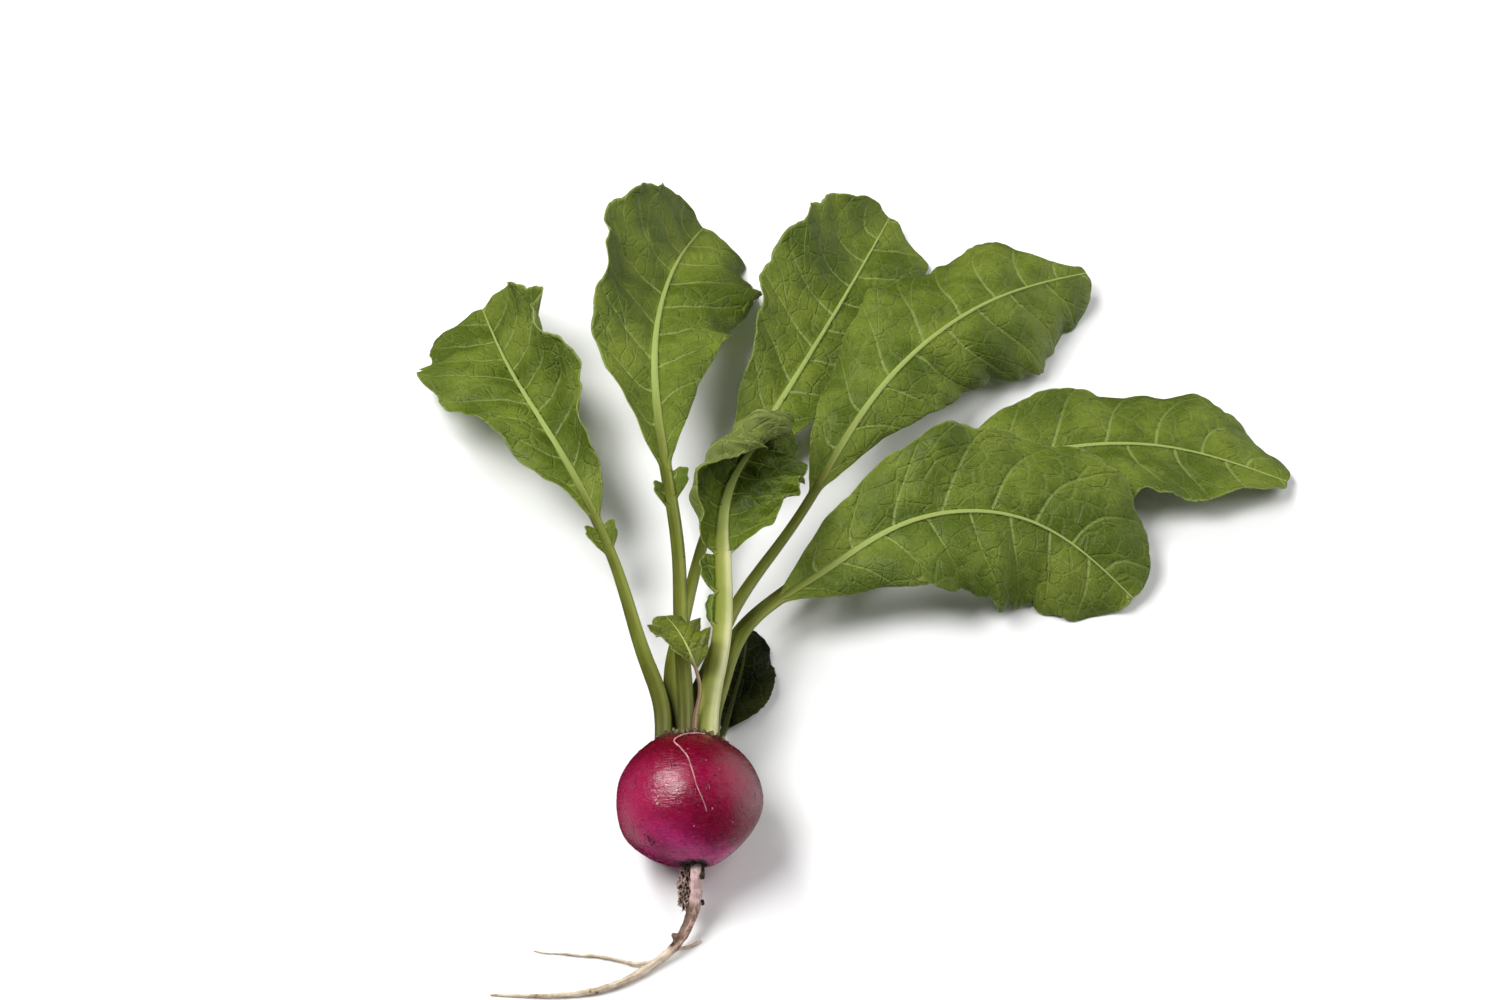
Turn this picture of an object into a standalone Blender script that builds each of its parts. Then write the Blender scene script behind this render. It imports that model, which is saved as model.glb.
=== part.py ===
"""A purple radish as picked: a round root with its taproot, and its rosette of leaves, laid on a table.

The table is the plane z = 0 and the origin is the small flat spot that the root rests on. +Y runs from
the taproot towards the leaf tips and +Z is up. Sizes below are millimetres and degrees, and make_object
turns them into metres.
"""

import math
from dataclasses import dataclass

import bmesh
import bpy
import numpy as np
from mathutils import Vector, noise

MM = 0.001
GAP = 0.35

# Bulb: a round root, a little shorter than wide, whose crown is tilted up
BULB_RADIUS = 17.5
BULB_HALF_LENGTH = 16.4
BULB_CENTRE = np.array([0.0, -0.5, 17.1])
BULB_FULLNESS = 0.94  # below 1 the shoulders are fuller than an ellipse's
BULB_CHEEK = 0.05  # extra fullness low on the left, as a share of the radius
BULB_SLACK = 0.18  # lack of fullness low on the right, as a share of the radius
BULB_LUMPS = [(2, 0.012, 0.6), (3, 0.010, 0.47)]  # number round the bulb, height as a share, phase
CROWN_TILT = math.radians(18)
CROWN_CUT = math.radians(7)
DIMPLE_EDGE = math.radians(168)
DIMPLE_DEPTH = 1.6
ROOT_END_SHIFT = (1.8, 3.6)  # how far right of its axis and above it the bulb ends in the taproot
BULB_RINGS = 15
RING_SIDES = 24

# Taproot: leaves the bulb in a small dimple, then lies on the table
TAPROOT_KNOTS = [
    (1.7, -22.6, 8.2),
    (0.2, -26.6, 5.2),
    (-2.8, -31.4, 2.9),
    (-7.3, -35.3, 1.7),
    (-17.2, -41.4, 1.2),
    (-30.5, -43.9, 0.7),
    (-46.4, -43.5, 0.3),
]
TAPROOT_RADIUS = 1.6
TAPROOT_TIP_RADIUS = 0.32
TAPROOT_TAPER = 0.85
TAPROOT_RINGS = 18
ROOTLET_SIDES = 6

# Side roots of the taproot: share of its length, then knots, then radius at each end
SIDE_ROOTS = [
    (0.40, [(-11.4, -35.5, 1.1), (-18.0, -34.1, 0.7), (-27.0, -32.8, 0.5), (-36.9, -31.6, 0.3)], 0.6, 0.35),
    (0.32, [(-0.1, -30.4, 1.0), (2.9, -28.9, 0.4)], 0.5, 0.35),
]

# Stray rootlet stuck to the skin: latitude from the crown, then longitude
STRAY_KNOTS = [(31, 66), (34, 92), (46, 104), (62, 94), (84, 86), (114, 74)]
STRAY_RADIUS = 0.3
STRAY_CLEARANCE = 0.5

# Soil clod on the taproot's left side: centre, and half sizes along X, Y, Z
CLOD_CENTRE = (-0.6, -18.0, 8.5)
CLOD_HALF_SIZES = (1.7, 5.3, 1.9)
CLOD_SLOPE = (0.08, 0.55)  # shift right and rise of the clod for each millimetre towards the bulb
CLOD_ROUGHNESS = 0.75
CLOD_GRAIN = 2.3

# How finely a leaf is divided: columns on each side of the rib's middle, and sections along it
RIB_STEPS = 1
STALK_STATIONS = 6
LOBE_STATIONS = 5
TIP_CROWDING = 1.35

# Petiole: starts inside the bulb, leaves it along its axis, and narrows to the waist where the blade starts
SEAT_DEPTH = 11.0
SEAT_RISE = 10.0
STALK_CREST = 0.42  # share of the petiole's depth that is above its route
GROOVE_DEPTH = 0.2
GROOVE_WIDTH = 0.45

# Blade: a rib that narrows to the tip, between two wings
BLADE_THICKNESS = 1.0
MARGIN_THICKNESS = 0.95
BLADE_FULLNESS = (0.8, 0.55)  # from the base to the widest place, and beyond it
RIB_AT_TIP = 0.14
RIB_BELLY = 0.62
RIB_LEAST = 0.55
WING_ONSET = 2.2  # half width at which the wing is fully flat
WING_REACH = 0.9  # where a wing starts on the rib, as a share of the rib's half width
WING_LIFT = 0.1
SWEEP = ((0, 0.06, 0.6, 1), (0.6, 0.32, 0.42, 0.22))  # share of the blade, and its veins' lean
PAST_TIP = 24


@dataclass
class Leaf:
    """One leaf. Pairs are left and right, triples are at the base, middle and tip of the blade."""

    seat: tuple  # place on the crown: across, then up
    route: list  # points that the midrib passes after the crown
    stalk: tuple  # width and depth of the petiole at the crown
    blade_from: float  # share of the length where the blade starts
    width: tuple  # widest half width
    widest: tuple = (0.58, 0.58)  # share of the blade where each wing is widest
    waist: float = 0.64  # width of the petiole where the blade starts, as a share
    lean: float = 1.0  # how far the wings lean towards the tip, as a share of the usual lean
    fold: tuple = ((15, 8, 0), (15, 8, 0))  # rise of each wing beside the rib
    curl: tuple = ((0, 0, 0), (0, 0, 0))  # turn of each wing from rib to margin
    roll: tuple = (0, 0, 0)  # turn of the blade about its rib, right side down
    wave: tuple = (2.5, 3.2)  # height of the margin's waves, and their number
    phase: float = 0.0
    teeth: tuple = (9, 0.10)  # number along a margin, and their depth
    lobes: tuple = ()  # side (-1 left), distance below the blade, length, width
    rests: bool = True  # whether its lowest point comes down to the table
    stations: int = 22  # sections along the blade
    steps: int = 3  # points across a wing
    colour: tuple = (0.16, 0.24, 0.05)


LEAVES = {
    "leaf_front": Leaf(
        seat=(4.3, 1.6),
        route=[(7.2, 38, 27.7), (7.9, 60, 29.3), (7.8, 76, 31), (11, 91, 31), (17, 103, 30), (23, 114, 26)],
        stalk=(5.5, 4.4),
        waist=0.8,
        lean=0.35,
        blade_from=0.523,
        width=(23, 17),
        widest=(0.5, 0.4),
        fold=((22, 18, 25), (28, 14, 0)),
        curl=((35, 222, 235), (5, -10, -50)),
        roll=(0, 2, 10),
        wave=(2.2, 4.2),
        phase=0.3,
        teeth=(6, 0.14),
        lobes=((-1, 6, 11, 4.4), (-1, 17, 10, 2.6)),
        rests=False,
        stations=26,
        steps=6,
        colour=(0.22, 0.32, 0.06),
    ),
    "leaf_young": Leaf(
        seat=(1.6, 4.9),
        route=[(2.5, 22, 30.4), (1.2, 28.5, 33), (-2.4, 36.5, 34.6), (-6.4, 43.5, 33)],
        stalk=(1.4, 1.3),
        blade_from=0.53,
        width=(6.0, 6.6),
        widest=(0.6, 0.42),
        fold=((25, 18, 5), (25, 18, 5)),
        curl=((10, -30, -50), (0, -40, -60)),
        roll=(0, 10, 20),
        wave=(1.4, 3.4),
        teeth=(4, 0.15),
        rests=False,
        stations=14,
        colour=(0.30, 0.34, 0.10),
    ),
    "leaf_middle": Leaf(
        seat=(-0.8, 2.2),
        route=[(-2.4, 42, 26), (-3.4, 68, 26), (-8.5, 108, 28), (-11, 148, 26), (-6, 184, 18), (1, 210, 6)],
        stalk=(3.9, 3.7),
        waist=0.85,
        blade_from=0.44,
        width=(25, 24),
        widest=(0.58, 0.6),
        fold=((34, 30, 25), (24, 18, 5)),
        curl=((-10, 25, 50), (-15, -50, -40)),
        roll=(0, 4, 12),
        wave=(2.8, 3.0),
        phase=0.9,
        teeth=(8, 0.07),
        lobes=((1, 6, 9, 4.2), (-1, 9, 8, 3.0)),
        steps=5,
    ),
    "leaf_left": Leaf(
        seat=(-6.5, 0.8),
        route=[(-11, 38, 22), (-19, 68, 23), (-33, 104, 25), (-50, 142, 19), (-61, 177, 8)],
        stalk=(4.3, 3.7),
        blade_from=0.44,
        width=(23, 21),
        widest=(0.6, 0.56),
        fold=((38, 34, 15), (32, 28, 20)),
        curl=((0, -40, -40), (10, 55, 40)),
        roll=(0, -8, -16),
        wave=(3.0, 3.4),
        phase=2.1,
        teeth=(8, 0.08),
        lobes=((-1, 7, 9, 3.8), (1, 6, 8, 3.0)),
        steps=5,
    ),
    "leaf_low": Leaf(
        seat=(3.6, -8.3),
        route=[(6.5, 26, 7.6), (9.8, 38, 5.5), (12.6, 50, 5.5), (14, 63, 5)],
        stalk=(2.8, 2.3),
        blade_from=0.45,
        width=(8, 8.5),
        widest=(0.46, 0.36),
        fold=((5, 0, -5), (15, 5, -5)),
        curl=((0, -10, -20), (10, -20, -30)),
        roll=(0, 5, 0),
        wave=(1.3, 2.2),
        phase=1.0,
        teeth=(4, 0.12),
        stations=16,
        colour=(0.07, 0.10, 0.02),
    ),
    "leaf_right": Leaf(
        seat=(5.3, -4.6),
        route=[(7.4, 34, 15.5), (12.5, 50, 17.5), (31, 69, 21.5), (56, 84, 27), (88, 87, 23), (114, 72, 10)],
        stalk=(4.2, 3.1),
        blade_from=0.34,
        width=(25, 24),
        widest=(0.6, 0.56),
        fold=((26, 24, 10), (20, 16, 0)),
        curl=((-5, -35, -25), (-30, -70, -55)),
        roll=(0, 12, 6),
        wave=(2.8, 3.4),
        phase=0.2,
        teeth=(9, 0.08),
        steps=4,
    ),
    "leaf_far_right": Leaf(
        seat=(0.0, -1.8),
        route=[(4, 36, 20), (9, 54, 18), (26, 90, 18), (49, 130, 27), (80, 163, 27), (110, 186, 15)],
        stalk=(4.2, 3.2),
        blade_from=0.44,
        width=(23, 23),
        widest=(0.56, 0.62),
        fold=((16, 8, 0), (16, 6, -5)),
        curl=((-20, -50, -50), (-30, -75, -50)),
        roll=(0, 12, 16),
        wave=(2.6, 2.8),
        phase=1.6,
        teeth=(9, 0.06),
        steps=4,
    ),
    "leaf_back": Leaf(
        seat=(-3.9, -3.2),
        route=[(-4.8, 34, 19), (-2.5, 58, 12), (4, 92, 9), (20, 130, 8), (40, 172, 9), (55, 210, 5)],
        stalk=(4.2, 3.2),
        blade_from=0.47,
        width=(24, 23),
        widest=(0.62, 0.58),
        fold=((22, 20, 15), (18, 12, 0)),
        curl=((0, 20, 50), (0, -40, -50)),
        roll=(0, 4, 8),
        wave=(2.6, 3.0),
        phase=2.8,
        teeth=(8, 0.08),
        steps=4,
    ),
    "leaf_low_right": Leaf(
        seat=(-0.8, -7.5),
        route=[
            (4, 36, 11), (10, 52, 11.5), (24, 69, 12), (48, 93, 11), (88, 116, 11), (127, 121, 9),
            (159, 112, 5),
        ],
        stalk=(4.2, 3.2),
        blade_from=0.44,
        width=(21, 21),
        widest=(0.6, 0.56),
        fold=((16, 12, 0), (16, 6, 10)),
        curl=((0, -35, -40), (0, 10, 40)),
        roll=(0, 3, 6),
        wave=(2.6, 3.2),
        phase=0.6,
        teeth=(8, 0.08),
        steps=4,
    ),
}

SKIN_COLOUR = (0.16, 0.010, 0.055)
SKIN_ROUGHNESS = 0.32
LEAF_ROUGHNESS = 0.5
ROOTLET_COLOUR = (0.55, 0.36, 0.30)
ROOTLET_ROUGHNESS = 0.7
SOIL_COLOUR = (0.055, 0.035, 0.025)
SOIL_ROUGHNESS = 0.95

AXIS = np.array([0.0, math.cos(CROWN_TILT), math.sin(CROWN_TILT)])
ACROSS = np.array([1.0, 0.0, 0.0])
RISE = np.cross(ACROSS, AXIS)


def lengths_along(points):
    return np.concatenate([[0], np.cumsum(np.linalg.norm(np.diff(points, axis=0), axis=1))])


def tangents_of(points):
    ahead = np.gradient(points, axis=0)
    return ahead / np.linalg.norm(ahead, axis=1)[:, None]


def at_lengths(values, along, wanted):
    return np.stack([np.interp(wanted, along, values[:, k]) for k in range(values.shape[1])], axis=-1)


def eased(value):
    """0 below 0, 1 above 1, and a smooth step between them."""
    value = np.clip(value, 0, 1)
    return value * value * (3 - 2 * value)


def blended(triple, share):
    """The value at that share of the way along base, middle and tip."""
    return np.interp(share, (0, 0.5, 1), triple)


def smooth_route(knots, spacing):
    """Points about this far apart on the natural cubic spline through the knots."""
    knots = np.array(knots, float)
    chord, count = lengths_along(knots), len(knots)
    step = np.diff(chord)
    system, jumps = np.eye(count), np.zeros((count, 3))
    for i in range(1, count - 1):
        system[i, i - 1 : i + 2] = step[i - 1], 2 * (step[i - 1] + step[i]), step[i]
        jumps[i] = 6 * ((knots[i + 1] - knots[i]) / step[i] - (knots[i] - knots[i - 1]) / step[i - 1])
    bend = np.linalg.solve(system, jumps)
    at = np.linspace(0, chord[-1], max(8, int(chord[-1] / spacing)))
    i = np.clip(np.searchsorted(chord, at, side="right") - 1, 0, count - 2)
    before, after, h = (at - chord[i])[:, None], (chord[i + 1] - at)[:, None], step[i][:, None]
    return (
        (bend[i] * after**3 + bend[i + 1] * before**3) / (6 * h)
        + (knots[i] / h - bend[i] * h / 6) * after
        + (knots[i + 1] / h - bend[i + 1] * h / 6) * before
    )


def make_material(name, colour, roughness):
    material = bpy.data.materials.new(name)
    material.use_nodes = True
    shader = material.node_tree.nodes["Principled BSDF"]
    shader.inputs["Base Color"].default_value = (*colour, 1)
    shader.inputs["Roughness"].default_value = roughness
    return material


def make_object(name, points, faces):
    mesh = bpy.data.meshes.new(name)
    mesh.from_pydata([tuple(p) for p in np.asarray(points) * MM], [], [tuple(map(int, f)) for f in faces])
    outward = bmesh.new()
    outward.from_mesh(mesh)
    bmesh.ops.recalc_face_normals(outward, faces=outward.faces)
    outward.to_mesh(mesh)
    outward.free()
    mesh.shade_smooth()
    thing = bpy.data.objects.new(name, mesh)
    bpy.context.scene.collection.objects.link(thing)
    return thing


def tube_between(rings):
    """Points and faces of a closed tube through the rings, with a pole at each end."""
    count, sides = rings.shape[:2]
    points = np.vstack([rings.reshape(-1, 3), rings[0].mean(axis=0), rings[-1].mean(axis=0)])
    first, last = count * sides, count * sides + 1
    faces = []
    for i in range(sides):
        j = (i + 1) % sides
        faces.append((first, j, i))
        faces.append((last, (count - 1) * sides + i, (count - 1) * sides + j))
        for k in range(count - 1):
            here, beyond = k * sides, (k + 1) * sides
            faces.append((here + i, here + j, beyond + j))
            faces.append((here + i, beyond + j, beyond + i))
    return points, faces


def rings_round(route, radii, sides):
    """Rings of the given radii round the route, turned as little as possible from one to the next."""
    ahead = tangents_of(route)
    side = ACROSS
    turns = np.arange(sides) * 2 * math.pi / sides
    rings = []
    for centre, forward, radius in zip(route, ahead, radii):
        side = side - forward * (side @ forward)
        side /= np.linalg.norm(side)
        up = np.cross(forward, side)
        rings.append(centre + radius * (np.outer(np.cos(turns), side) + np.outer(np.sin(turns), up)))
    return np.array(rings)


def join(thing, other, operation):
    """Applies a Boolean of the other object, which is then removed."""
    change = thing.modifiers.new(operation.lower(), "BOOLEAN")
    change.operation = operation
    change.object = other
    graph = bpy.context.evaluated_depsgraph_get()
    thing.data = bpy.data.meshes.new_from_object(thing.evaluated_get(graph))
    thing.modifiers.clear()
    bpy.data.objects.remove(other)


def make_cutter(name, rings):
    cutter = make_object(name, *tube_between(rings))
    cutter.hide_render = True
    cutter.display_type = "WIRE"
    return cutter


def bulb_point(latitude, longitude, outset=0.0):
    """A point of the bulb. Latitude 0 is the crown, longitude 0 faces +X and 90 degrees faces up."""
    belt = np.sin(latitude)
    lumps = sum(height * np.sin(number * longitude + phase) for number, height, phase in BULB_LUMPS)
    low = np.maximum(0, -np.cos(latitude))
    left, right = np.maximum(0, -np.cos(longitude)), np.maximum(0, np.cos(longitude))
    cheek = (BULB_CHEEK * left - BULB_SLACK * right) * low**1.5
    radius = BULB_RADIUS * belt**BULB_FULLNESS * (1 + lumps * belt + cheek) + outset
    along = (BULB_HALF_LENGTH + outset) * np.cos(latitude)
    outward = np.multiply.outer(np.cos(longitude), ACROSS) + np.multiply.outer(np.sin(longitude), RISE)
    shift = np.multiply.outer(low**6, ROOT_END_SHIFT[0] * ACROSS + ROOT_END_SHIFT[1] * RISE)
    middle = BULB_CENTRE + np.multiply.outer(along, AXIS) + shift
    return middle + outward * np.asarray(radius)[..., None]


def bulb_rings(outset=0.0):
    turns = np.arange(RING_SIDES) * 2 * math.pi / RING_SIDES
    latitudes = np.linspace(CROWN_CUT, DIMPLE_EDGE, BULB_RINGS)
    return np.array([bulb_point(np.full_like(turns, latitude), turns, outset) for latitude in latitudes])


def taproot_route():
    """The taproot's middle line, from the bottom of the dimple."""
    end = BULB_CENTRE + ROOT_END_SHIFT[0] * ACROSS + ROOT_END_SHIFT[1] * RISE
    dimple = end - AXIS * (BULB_HALF_LENGTH - DIMPLE_DEPTH)
    mouth = end - AXIS * (BULB_HALF_LENGTH + 1)
    return smooth_route([dimple, mouth, *TAPROOT_KNOTS], 1.0)


def taproot_rings(outset=0.0):
    route = taproot_route()
    along = lengths_along(route)
    share = np.linspace(0, 1, TAPROOT_RINGS)
    radii = TAPROOT_TIP_RADIUS + (TAPROOT_RADIUS - TAPROOT_TIP_RADIUS) * (1 - share) ** TAPROOT_TAPER
    return rings_round(at_lengths(route, along, share * along[-1]), radii + outset, RING_SIDES)


def make_root():
    """Bulb, dimple and taproot as one skin, with its side roots, cut flat where it rests."""
    root = make_object("root", *tube_between(np.concatenate([bulb_rings(), taproot_rings()])))
    route = taproot_route()
    for share, knots, thick, thin in SIDE_ROOTS:
        middle = smooth_route([route[int(share * len(route))], *knots], 2.5)
        rings = rings_round(middle, np.linspace(thick, thin, len(middle)), ROOTLET_SIDES)
        join(root, make_object("side_root", *tube_between(rings)), "UNION")
    rested = bmesh.new()
    rested.from_mesh(root.data)
    whole = rested.verts[:] + rested.edges[:] + rested.faces[:]
    bmesh.ops.bisect_plane(rested, geom=whole, plane_co=(0, 0, 0), plane_no=(0, 0, -1), clear_outer=True)
    bmesh.ops.holes_fill(rested, edges=[edge for edge in rested.edges if edge.is_boundary])
    bmesh.ops.triangulate(rested, faces=rested.faces[:])
    rested.to_mesh(root.data)
    rested.free()
    root.data.materials.clear()
    root.data.materials.append(make_material("skin", SKIN_COLOUR, SKIN_ROUGHNESS))


def make_stray_rootlet():
    """A fine root fibre that lies over the bulb, from beside the petioles down its front."""
    latitudes, longitudes = np.radians(np.array(STRAY_KNOTS, float)).T
    middle = smooth_route(bulb_point(latitudes, longitudes, STRAY_RADIUS + STRAY_CLEARANCE), 1.6)
    rings = rings_round(middle, np.full(len(middle), STRAY_RADIUS), ROOTLET_SIDES)
    rootlet = make_object("stray_rootlet", *tube_between(rings))
    rootlet.data.materials.append(make_material("rootlet", ROOTLET_COLOUR, ROOTLET_ROUGHNESS))


def make_soil_clod():
    """A lumpy crust that clings to the taproot and leaves room for it."""
    ball = bmesh.new()
    bmesh.ops.create_icosphere(ball, subdivisions=3, radius=1)
    points = []
    for vertex in ball.verts:
        fine = noise.noise(vertex.co * CLOD_GRAIN * 2.2)
        lump = noise.noise(vertex.co * CLOD_GRAIN + Vector((4, 1, 7))) + 0.5 * fine
        reach = np.array(vertex.co) * (1 + 0.25 * lump)
        swell = CLOD_ROUGHNESS * lump * np.array(vertex.normal)
        offset = reach * CLOD_HALF_SIZES + swell
        offset[0] += CLOD_SLOPE[0] * offset[1]
        offset[2] += CLOD_SLOPE[1] * offset[1]
        points.append(np.array(CLOD_CENTRE) + offset)
    faces = [[corner.index for corner in face.verts] for face in ball.faces]
    ball.free()
    clod = make_object("soil_clod", points, faces)
    for name, rings in (("bulb_room", bulb_rings(GAP)), ("taproot_room", taproot_rings(GAP))):
        join(clod, make_cutter(name, rings), "DIFFERENCE")
    clod.data.materials.clear()
    clod.data.materials.append(make_material("soil", SOIL_COLOUR, SOIL_ROUGHNESS))


def midrib(leaf):
    """The midrib's route with its lengths, the leaf's length, and the directions right and up along it."""
    seat = BULB_CENTRE + ACROSS * leaf.seat[0] + RISE * leaf.seat[1]
    knots = [seat + AXIS * SEAT_DEPTH, seat + AXIS * (SEAT_DEPTH + SEAT_RISE), *leaf.route]
    route = smooth_route(knots, 1.0)
    length = lengths_along(route)[-1]
    ahead = tangents_of(route)
    route = np.vstack([route, route[-1] + np.outer(np.arange(1, PAST_TIP + 1), ahead[-1])])
    ahead = np.vstack([ahead, np.repeat(ahead[-1:], PAST_TIP, axis=0)])
    along = lengths_along(route)
    right = np.cross(ahead, (0, 0, 1))
    right /= np.linalg.norm(right, axis=1)[:, None]
    up = np.cross(right, ahead)
    in_blade = (along / length - leaf.blade_from) / (1 - leaf.blade_from)
    roll = np.radians(blended(leaf.roll, in_blade))[:, None]
    rolled_right = right * np.cos(roll) - up * np.sin(roll)
    rolled_up = up * np.cos(roll) + right * np.sin(roll)
    return route, along, length, rolled_right, rolled_up


def wing_width(leaf, hand, share, below):
    """Half width on one side at that share of the blade, or of the lobes that far below its start."""
    inside = np.clip(share, 0, 1)
    widest = leaf.widest[hand > 0]
    full = np.sin(math.pi * inside ** (math.log(0.5) / math.log(widest)))
    full **= np.where(inside < widest, *BLADE_FULLNESS)
    count, depth = leaf.teeth
    tooth = np.abs(np.sin(math.pi * (inside * count + 0.3 * hand))) - 2 / math.pi
    width = leaf.width[hand > 0] * full * (1 + depth * tooth * eased(inside * 4))
    for lobe_hand, distance, length, reach in leaf.lobes:
        if lobe_hand == hand:
            near = 1 - (2 * (below - distance) / length) ** 2
            width = np.maximum(width, reach * np.sqrt(np.clip(near, 0, 1)))
    return width


def wing_section(leaf, hand, share, width):
    """Places across, ahead and up from the rib to the margin, and the wing's slope there."""
    steps = np.linspace(0, 1, leaf.steps)
    reach = np.outer(width, steps)
    fold = np.radians(blended(leaf.fold[hand > 0], share))[:, None]
    turn = np.radians(blended(leaf.curl[hand > 0], share))[:, None] * eased(width / 6)[:, None]
    bend = turn / np.maximum(width, 1)[:, None]
    bend = np.where(np.abs(bend) < 1e-4, 1e-4, bend)
    slope = fold + bend * reach
    across = (np.sin(slope) - np.sin(fold)) / bend
    rise = (np.cos(fold) - np.cos(slope)) / bend
    height, count = leaf.wave
    fading = np.sqrt(np.clip(np.sin(math.pi * share), 0, 1)) * eased(width / 8)
    swing = height * fading * np.sin(2 * math.pi * count * share + leaf.phase + 1.3 * hand)
    wave = np.outer(swing, steps**1.8)
    lean = leaf.lean * np.interp(share, *SWEEP)[:, None]
    forward = reach * lean * (0.6 + 0.4 * steps)
    return across - wave * np.sin(slope), forward, rise + wave * np.cos(slope), slope


def stalk_sections(leaf, share, stalk):
    """Half width and depth of the petiole and the rib, as the leaf narrows from the crown to its tip."""
    petiole = 1 - (1 - leaf.waist) * eased(stalk)
    rib = leaf.waist * (1 - (1 - RIB_AT_TIP) * np.clip(share, 0, 1) ** 0.8)
    taper = np.where(share < 0, petiole, rib)
    return leaf.stalk[0] / 2 * taper, leaf.stalk[1] * taper


def leaf_surface(leaf, stations):
    """Upper and lower faces as grids of stations by columns, from the left margin to the right one."""
    route, along, length, right, up = midrib(leaf)
    start = leaf.blade_from * length
    share = (stations - start) / (length - start)
    in_blade = np.clip(share, 0, 1)
    half, depth = stalk_sections(leaf, share, stations / start)
    columns = np.arange(-RIB_STEPS - leaf.steps, RIB_STEPS + leaf.steps + 1)
    rib = np.abs(columns) <= RIB_STEPS
    turns = math.pi / 2 - columns * math.pi / len(columns)
    groove = np.exp(-((np.cos(turns) / GROOVE_WIDTH) ** 2))
    places = {face: np.zeros((len(stations), len(columns), 3)) for face in (1, -1)}
    for face, part_of_depth in ((1, STALK_CREST), (-1, 1 - STALK_CREST)):
        places[face][..., 0] = np.outer(half, np.cos(turns))
        places[face][..., 2] = face * part_of_depth * np.outer(depth, np.sin(turns))
    places[1][..., 2] -= GROOVE_DEPTH * np.outer(depth, groove)
    opened = np.zeros(len(stations))
    for hand in (-1, 1):
        width = wing_width(leaf, hand, share, start - stations)
        flat = eased(width / WING_ONSET)
        opened = np.maximum(opened, flat)
        across, forward, rise, slope = wing_section(leaf, hand, in_blade, width)
        thick = np.linspace(BLADE_THICKNESS, MARGIN_THICKNESS, leaf.steps) / 2
        wing = np.flatnonzero(columns * hand > RIB_STEPS)[::hand]
        for face in (1, -1):
            beside = hand * (half[:, None] * WING_REACH + across - face * thick * np.sin(slope))
            above = WING_LIFT + rise + face * thick * np.cos(slope)
            mix = flat[:, None, None]
            blade = np.stack([beside, forward, above], axis=-1)
            places[face][:, wing] = places[face][:, wing] * (1 - mix) + blade * mix
    spread = columns[rib] / (RIB_STEPS + 0.6)
    crest = np.full((len(stations), 1), WING_LIFT + RIB_BELLY * BLADE_THICKNESS) * (0.82 + 0.18 * spread**2)
    belly = -np.maximum(RIB_BELLY * depth, RIB_LEAST)[:, None] * (1 - 0.25 * spread**2)
    mix = opened[:, None]
    for face, level in ((1, crest), (-1, belly)):
        places[face][:, rib, 0] = places[face][:, rib, 0] * (1 - mix) + np.outer(half, spread) * mix
        places[face][:, rib, 2] = places[face][:, rib, 2] * (1 - mix) + level * mix
    grids = []
    for face in (1, -1):
        at = stations[:, None] + places[face][..., 1]
        middle = at_lengths(route, along, at)
        sideways = at_lengths(right, along, at) * places[face][..., :1]
        grids.append(middle + sideways + at_lengths(up, along, at) * places[face][..., 2:])
    return grids


def leaf_stations(leaf, length):
    """Distances along the midrib at which the leaf has a section, closer together towards its tip."""
    start = leaf.blade_from * length
    lobes_from = start - max([distance + long / 2 for _, distance, long, _ in leaf.lobes], default=3)
    blade = 1 - (1 - np.linspace(0, 1, leaf.stations + 1)[1:]) ** TIP_CROWDING
    stalk = np.linspace(0, lobes_from, STALK_STATIONS)
    lobed = np.linspace(lobes_from, start, (LOBE_STATIONS if leaf.lobes else 1) + 1)[1:]
    return np.concatenate([stalk, lobed, start + blade * (length - start) * 0.998])


def settle(grids, stations):
    """Lets the leaf sag or rise, more towards the blade, until its lowest point meets the table."""
    weight = eased((stations / stations[-1] - 0.15) / 0.35)[:, None]
    for _ in range(6):
        lowest = min(grid[..., 2][weight[:, 0] > 0.9].min() for grid in grids)
        for grid in grids:
            grid[..., 2] -= weight * lowest


def leaf_faces(stations, columns):
    """Triangles of both faces, margins and ends. Both faces are split alike, so that they never cross."""
    middle, lower = columns // 2, stations * columns
    faces = []

    def quad(a, b, c, d, swapped=False):
        faces.extend([(a, b, d), (b, c, d)] if swapped else [(a, b, c), (a, c, d)])

    for k in range(stations - 1):
        for i in range(columns - 1):
            here, beyond = k * columns + i, (k + 1) * columns + i
            quad(here, here + 1, beyond + 1, beyond, i < middle)
            quad(lower + here + 1, lower + here, lower + beyond, lower + beyond + 1, i >= middle)
        left, right = k * columns, k * columns + columns - 1
        quad(lower + left, left, left + columns, lower + left + columns)
        quad(right, lower + right, lower + right + columns, right + columns)
    last = (stations - 1) * columns
    for i in range(columns - 1):
        quad(i + 1, i, lower + i, lower + i + 1)
        quad(last + i, last + i + 1, lower + last + i + 1, lower + last + i)
    return faces


def make_leaf(name, leaf):
    stations = leaf_stations(leaf, midrib(leaf)[2])
    grids = leaf_surface(leaf, stations)
    if leaf.rests:
        settle(grids, stations)
    points = np.concatenate([grid.reshape(-1, 3) for grid in grids])
    thing = make_object(name, points, leaf_faces(len(stations), grids[0].shape[1]))
    join(thing, make_cutter("bulb_room", bulb_rings(GAP)), "DIFFERENCE")
    thing.data.materials.clear()
    thing.data.materials.append(make_material(name, leaf.colour, LEAF_ROUGHNESS))


def main():
    for thing in list(bpy.data.objects):
        bpy.data.objects.remove(thing)
    make_root()
    make_stray_rootlet()
    make_soil_clod()
    for name, leaf in LEAVES.items():
        make_leaf(name, leaf)


main()
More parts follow.
